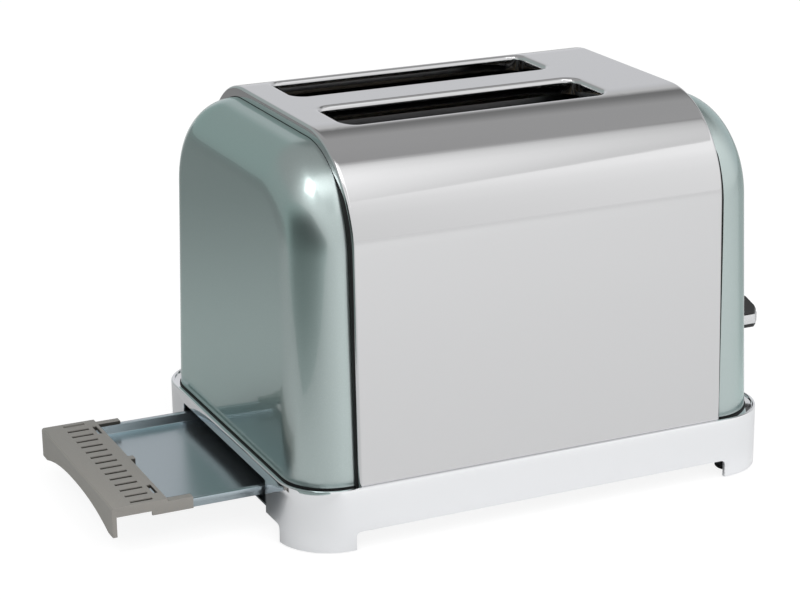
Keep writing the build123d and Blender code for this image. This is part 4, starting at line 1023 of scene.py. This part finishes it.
mirrored = put(tree, "Math", (path["Is Glossy Ray"], path["Is Transmission Ray"]),
    operation="ADD", use_clamp=True)
mixed = put(tree, "MixShader", (mirrored, plain, seen))
matt = put(tree, "BsdfDiffuse", {"Color": linear("#7E7E7E")})
glow = put(tree, "Emission", {"Strength": 0.87})
shown = put(tree, "AddShader", (matt, glow))
mixed = put(tree, "MixShader", (path["Is Camera Ray"], mixed, shown))
put(tree, "OutputMaterial", {"Surface": mixed})
floor = piece_from("studio_floor", [(-6, -6, 0), (6, -6, 0), (6, 6, 0), (-6, 6, 0)],
    [(0, 1, 2, 3)], white_sweep, False)


def card(name, spots, tint="#FFFFFF"):
    """A card that only mirrors show; returns its tree, where a point is, and its glow."""
    face, tree, place = bare_finish(name + "_face")
    glow = put(tree, "Emission", {"Color": linear(tint)})
    put(tree, "OutputMaterial", {"Surface": glow})
    piece = piece_from(name, spots, [tuple(range(len(spots)))], face, False)
    piece.visible_camera = piece.visible_diffuse = piece.visible_shadow = False
    piece.visible_transmission = False
    return tree, put(tree, "SeparateXYZ", {"Vector": place}).outputs, glow


# Silk over the front: its glow on the wrap is soft above and ends in a clean line below.
silk_z = 1.2
tree, (x, y, z), glow = card("silk", [(*spot, silk_z) for spot in ((-0.42, -1.45), (0.39, -1.6),
    (1.19, -0.2), (0.95, -0.15), (-0.38, -0.15), (-0.46, -0.6))])
fall = glow_along(tree, y, -0.15, -1.35, (0.0, 0.4), (0.03, 0.48), (0.06, 0.68), (0.125, 0.84),
    (0.25, 0.96), (0.375, 1.0), (0.625, 0.97), (1.0, 0.92))
fade = glow_along(tree, x, -0.4, 1.2, (0.0, 2.5), (0.15, 2.3), (0.28, 2.15), (0.38, 2.25),
    (0.44, 1.5), (0.51, 1.28), (0.56, 1.2), (0.645, 1.08), (0.69, 1.0), (0.75, 0.93), (0.9, 0.88))
corner = put(tree, "Math", (patch(tree, (y, -0.9, -0.45), (x, 0.05, 0.28)), -0.6, 1.0),
    operation="MULTIPLY_ADD")
fall = put(tree, "Math", (fall, corner), operation="MULTIPLY")
bright = put(tree, "Math", (fall, fade), operation="MULTIPLY")
tree.links.new(bright.outputs[0], glow.inputs["Strength"])

# Grey flag beside the tray end: it draws the soft dark line down the panel's front corner.
flag_x, flag_edge = -0.36, 0.65
tree, (x, y, z), glow = card("flag", [(flag_x, *spot) for spot in ((-0.75, 0.0), (-0.12, 0.0),
    (0.02, 0.06), (0.06, 0.14), (0.02, 0.24), (-0.1, 0.32), (-0.26, 0.34), (-0.75, 0.22))],
    "#DAF0EC")
low = glow_along(tree, z, 0.0, 0.25, (0.0, 0.38), (0.5, 0.19), (0.75, 0.09), (1.0, 0.06))
out = put(tree, "MapRange", (y, -0.34, -0.7, 1.0, 2.0))
shade = put(tree, "Math", (low, out, -flag_edge), operation="MULTIPLY_ADD")
slope = put(tree, "Math", (y, 0.6, z), operation="MULTIPLY_ADD")
cover = patch(tree, (y, -0.05, 0.04), (slope, 0.16, 0.24))
bright = put(tree, "Math", (shade, cover, flag_edge), operation="MULTIPLY_ADD")
tree.links.new(bright.outputs[0], glow.inputs["Strength"])
bpy.context.scene.view_settings.view_transform = "Standard"
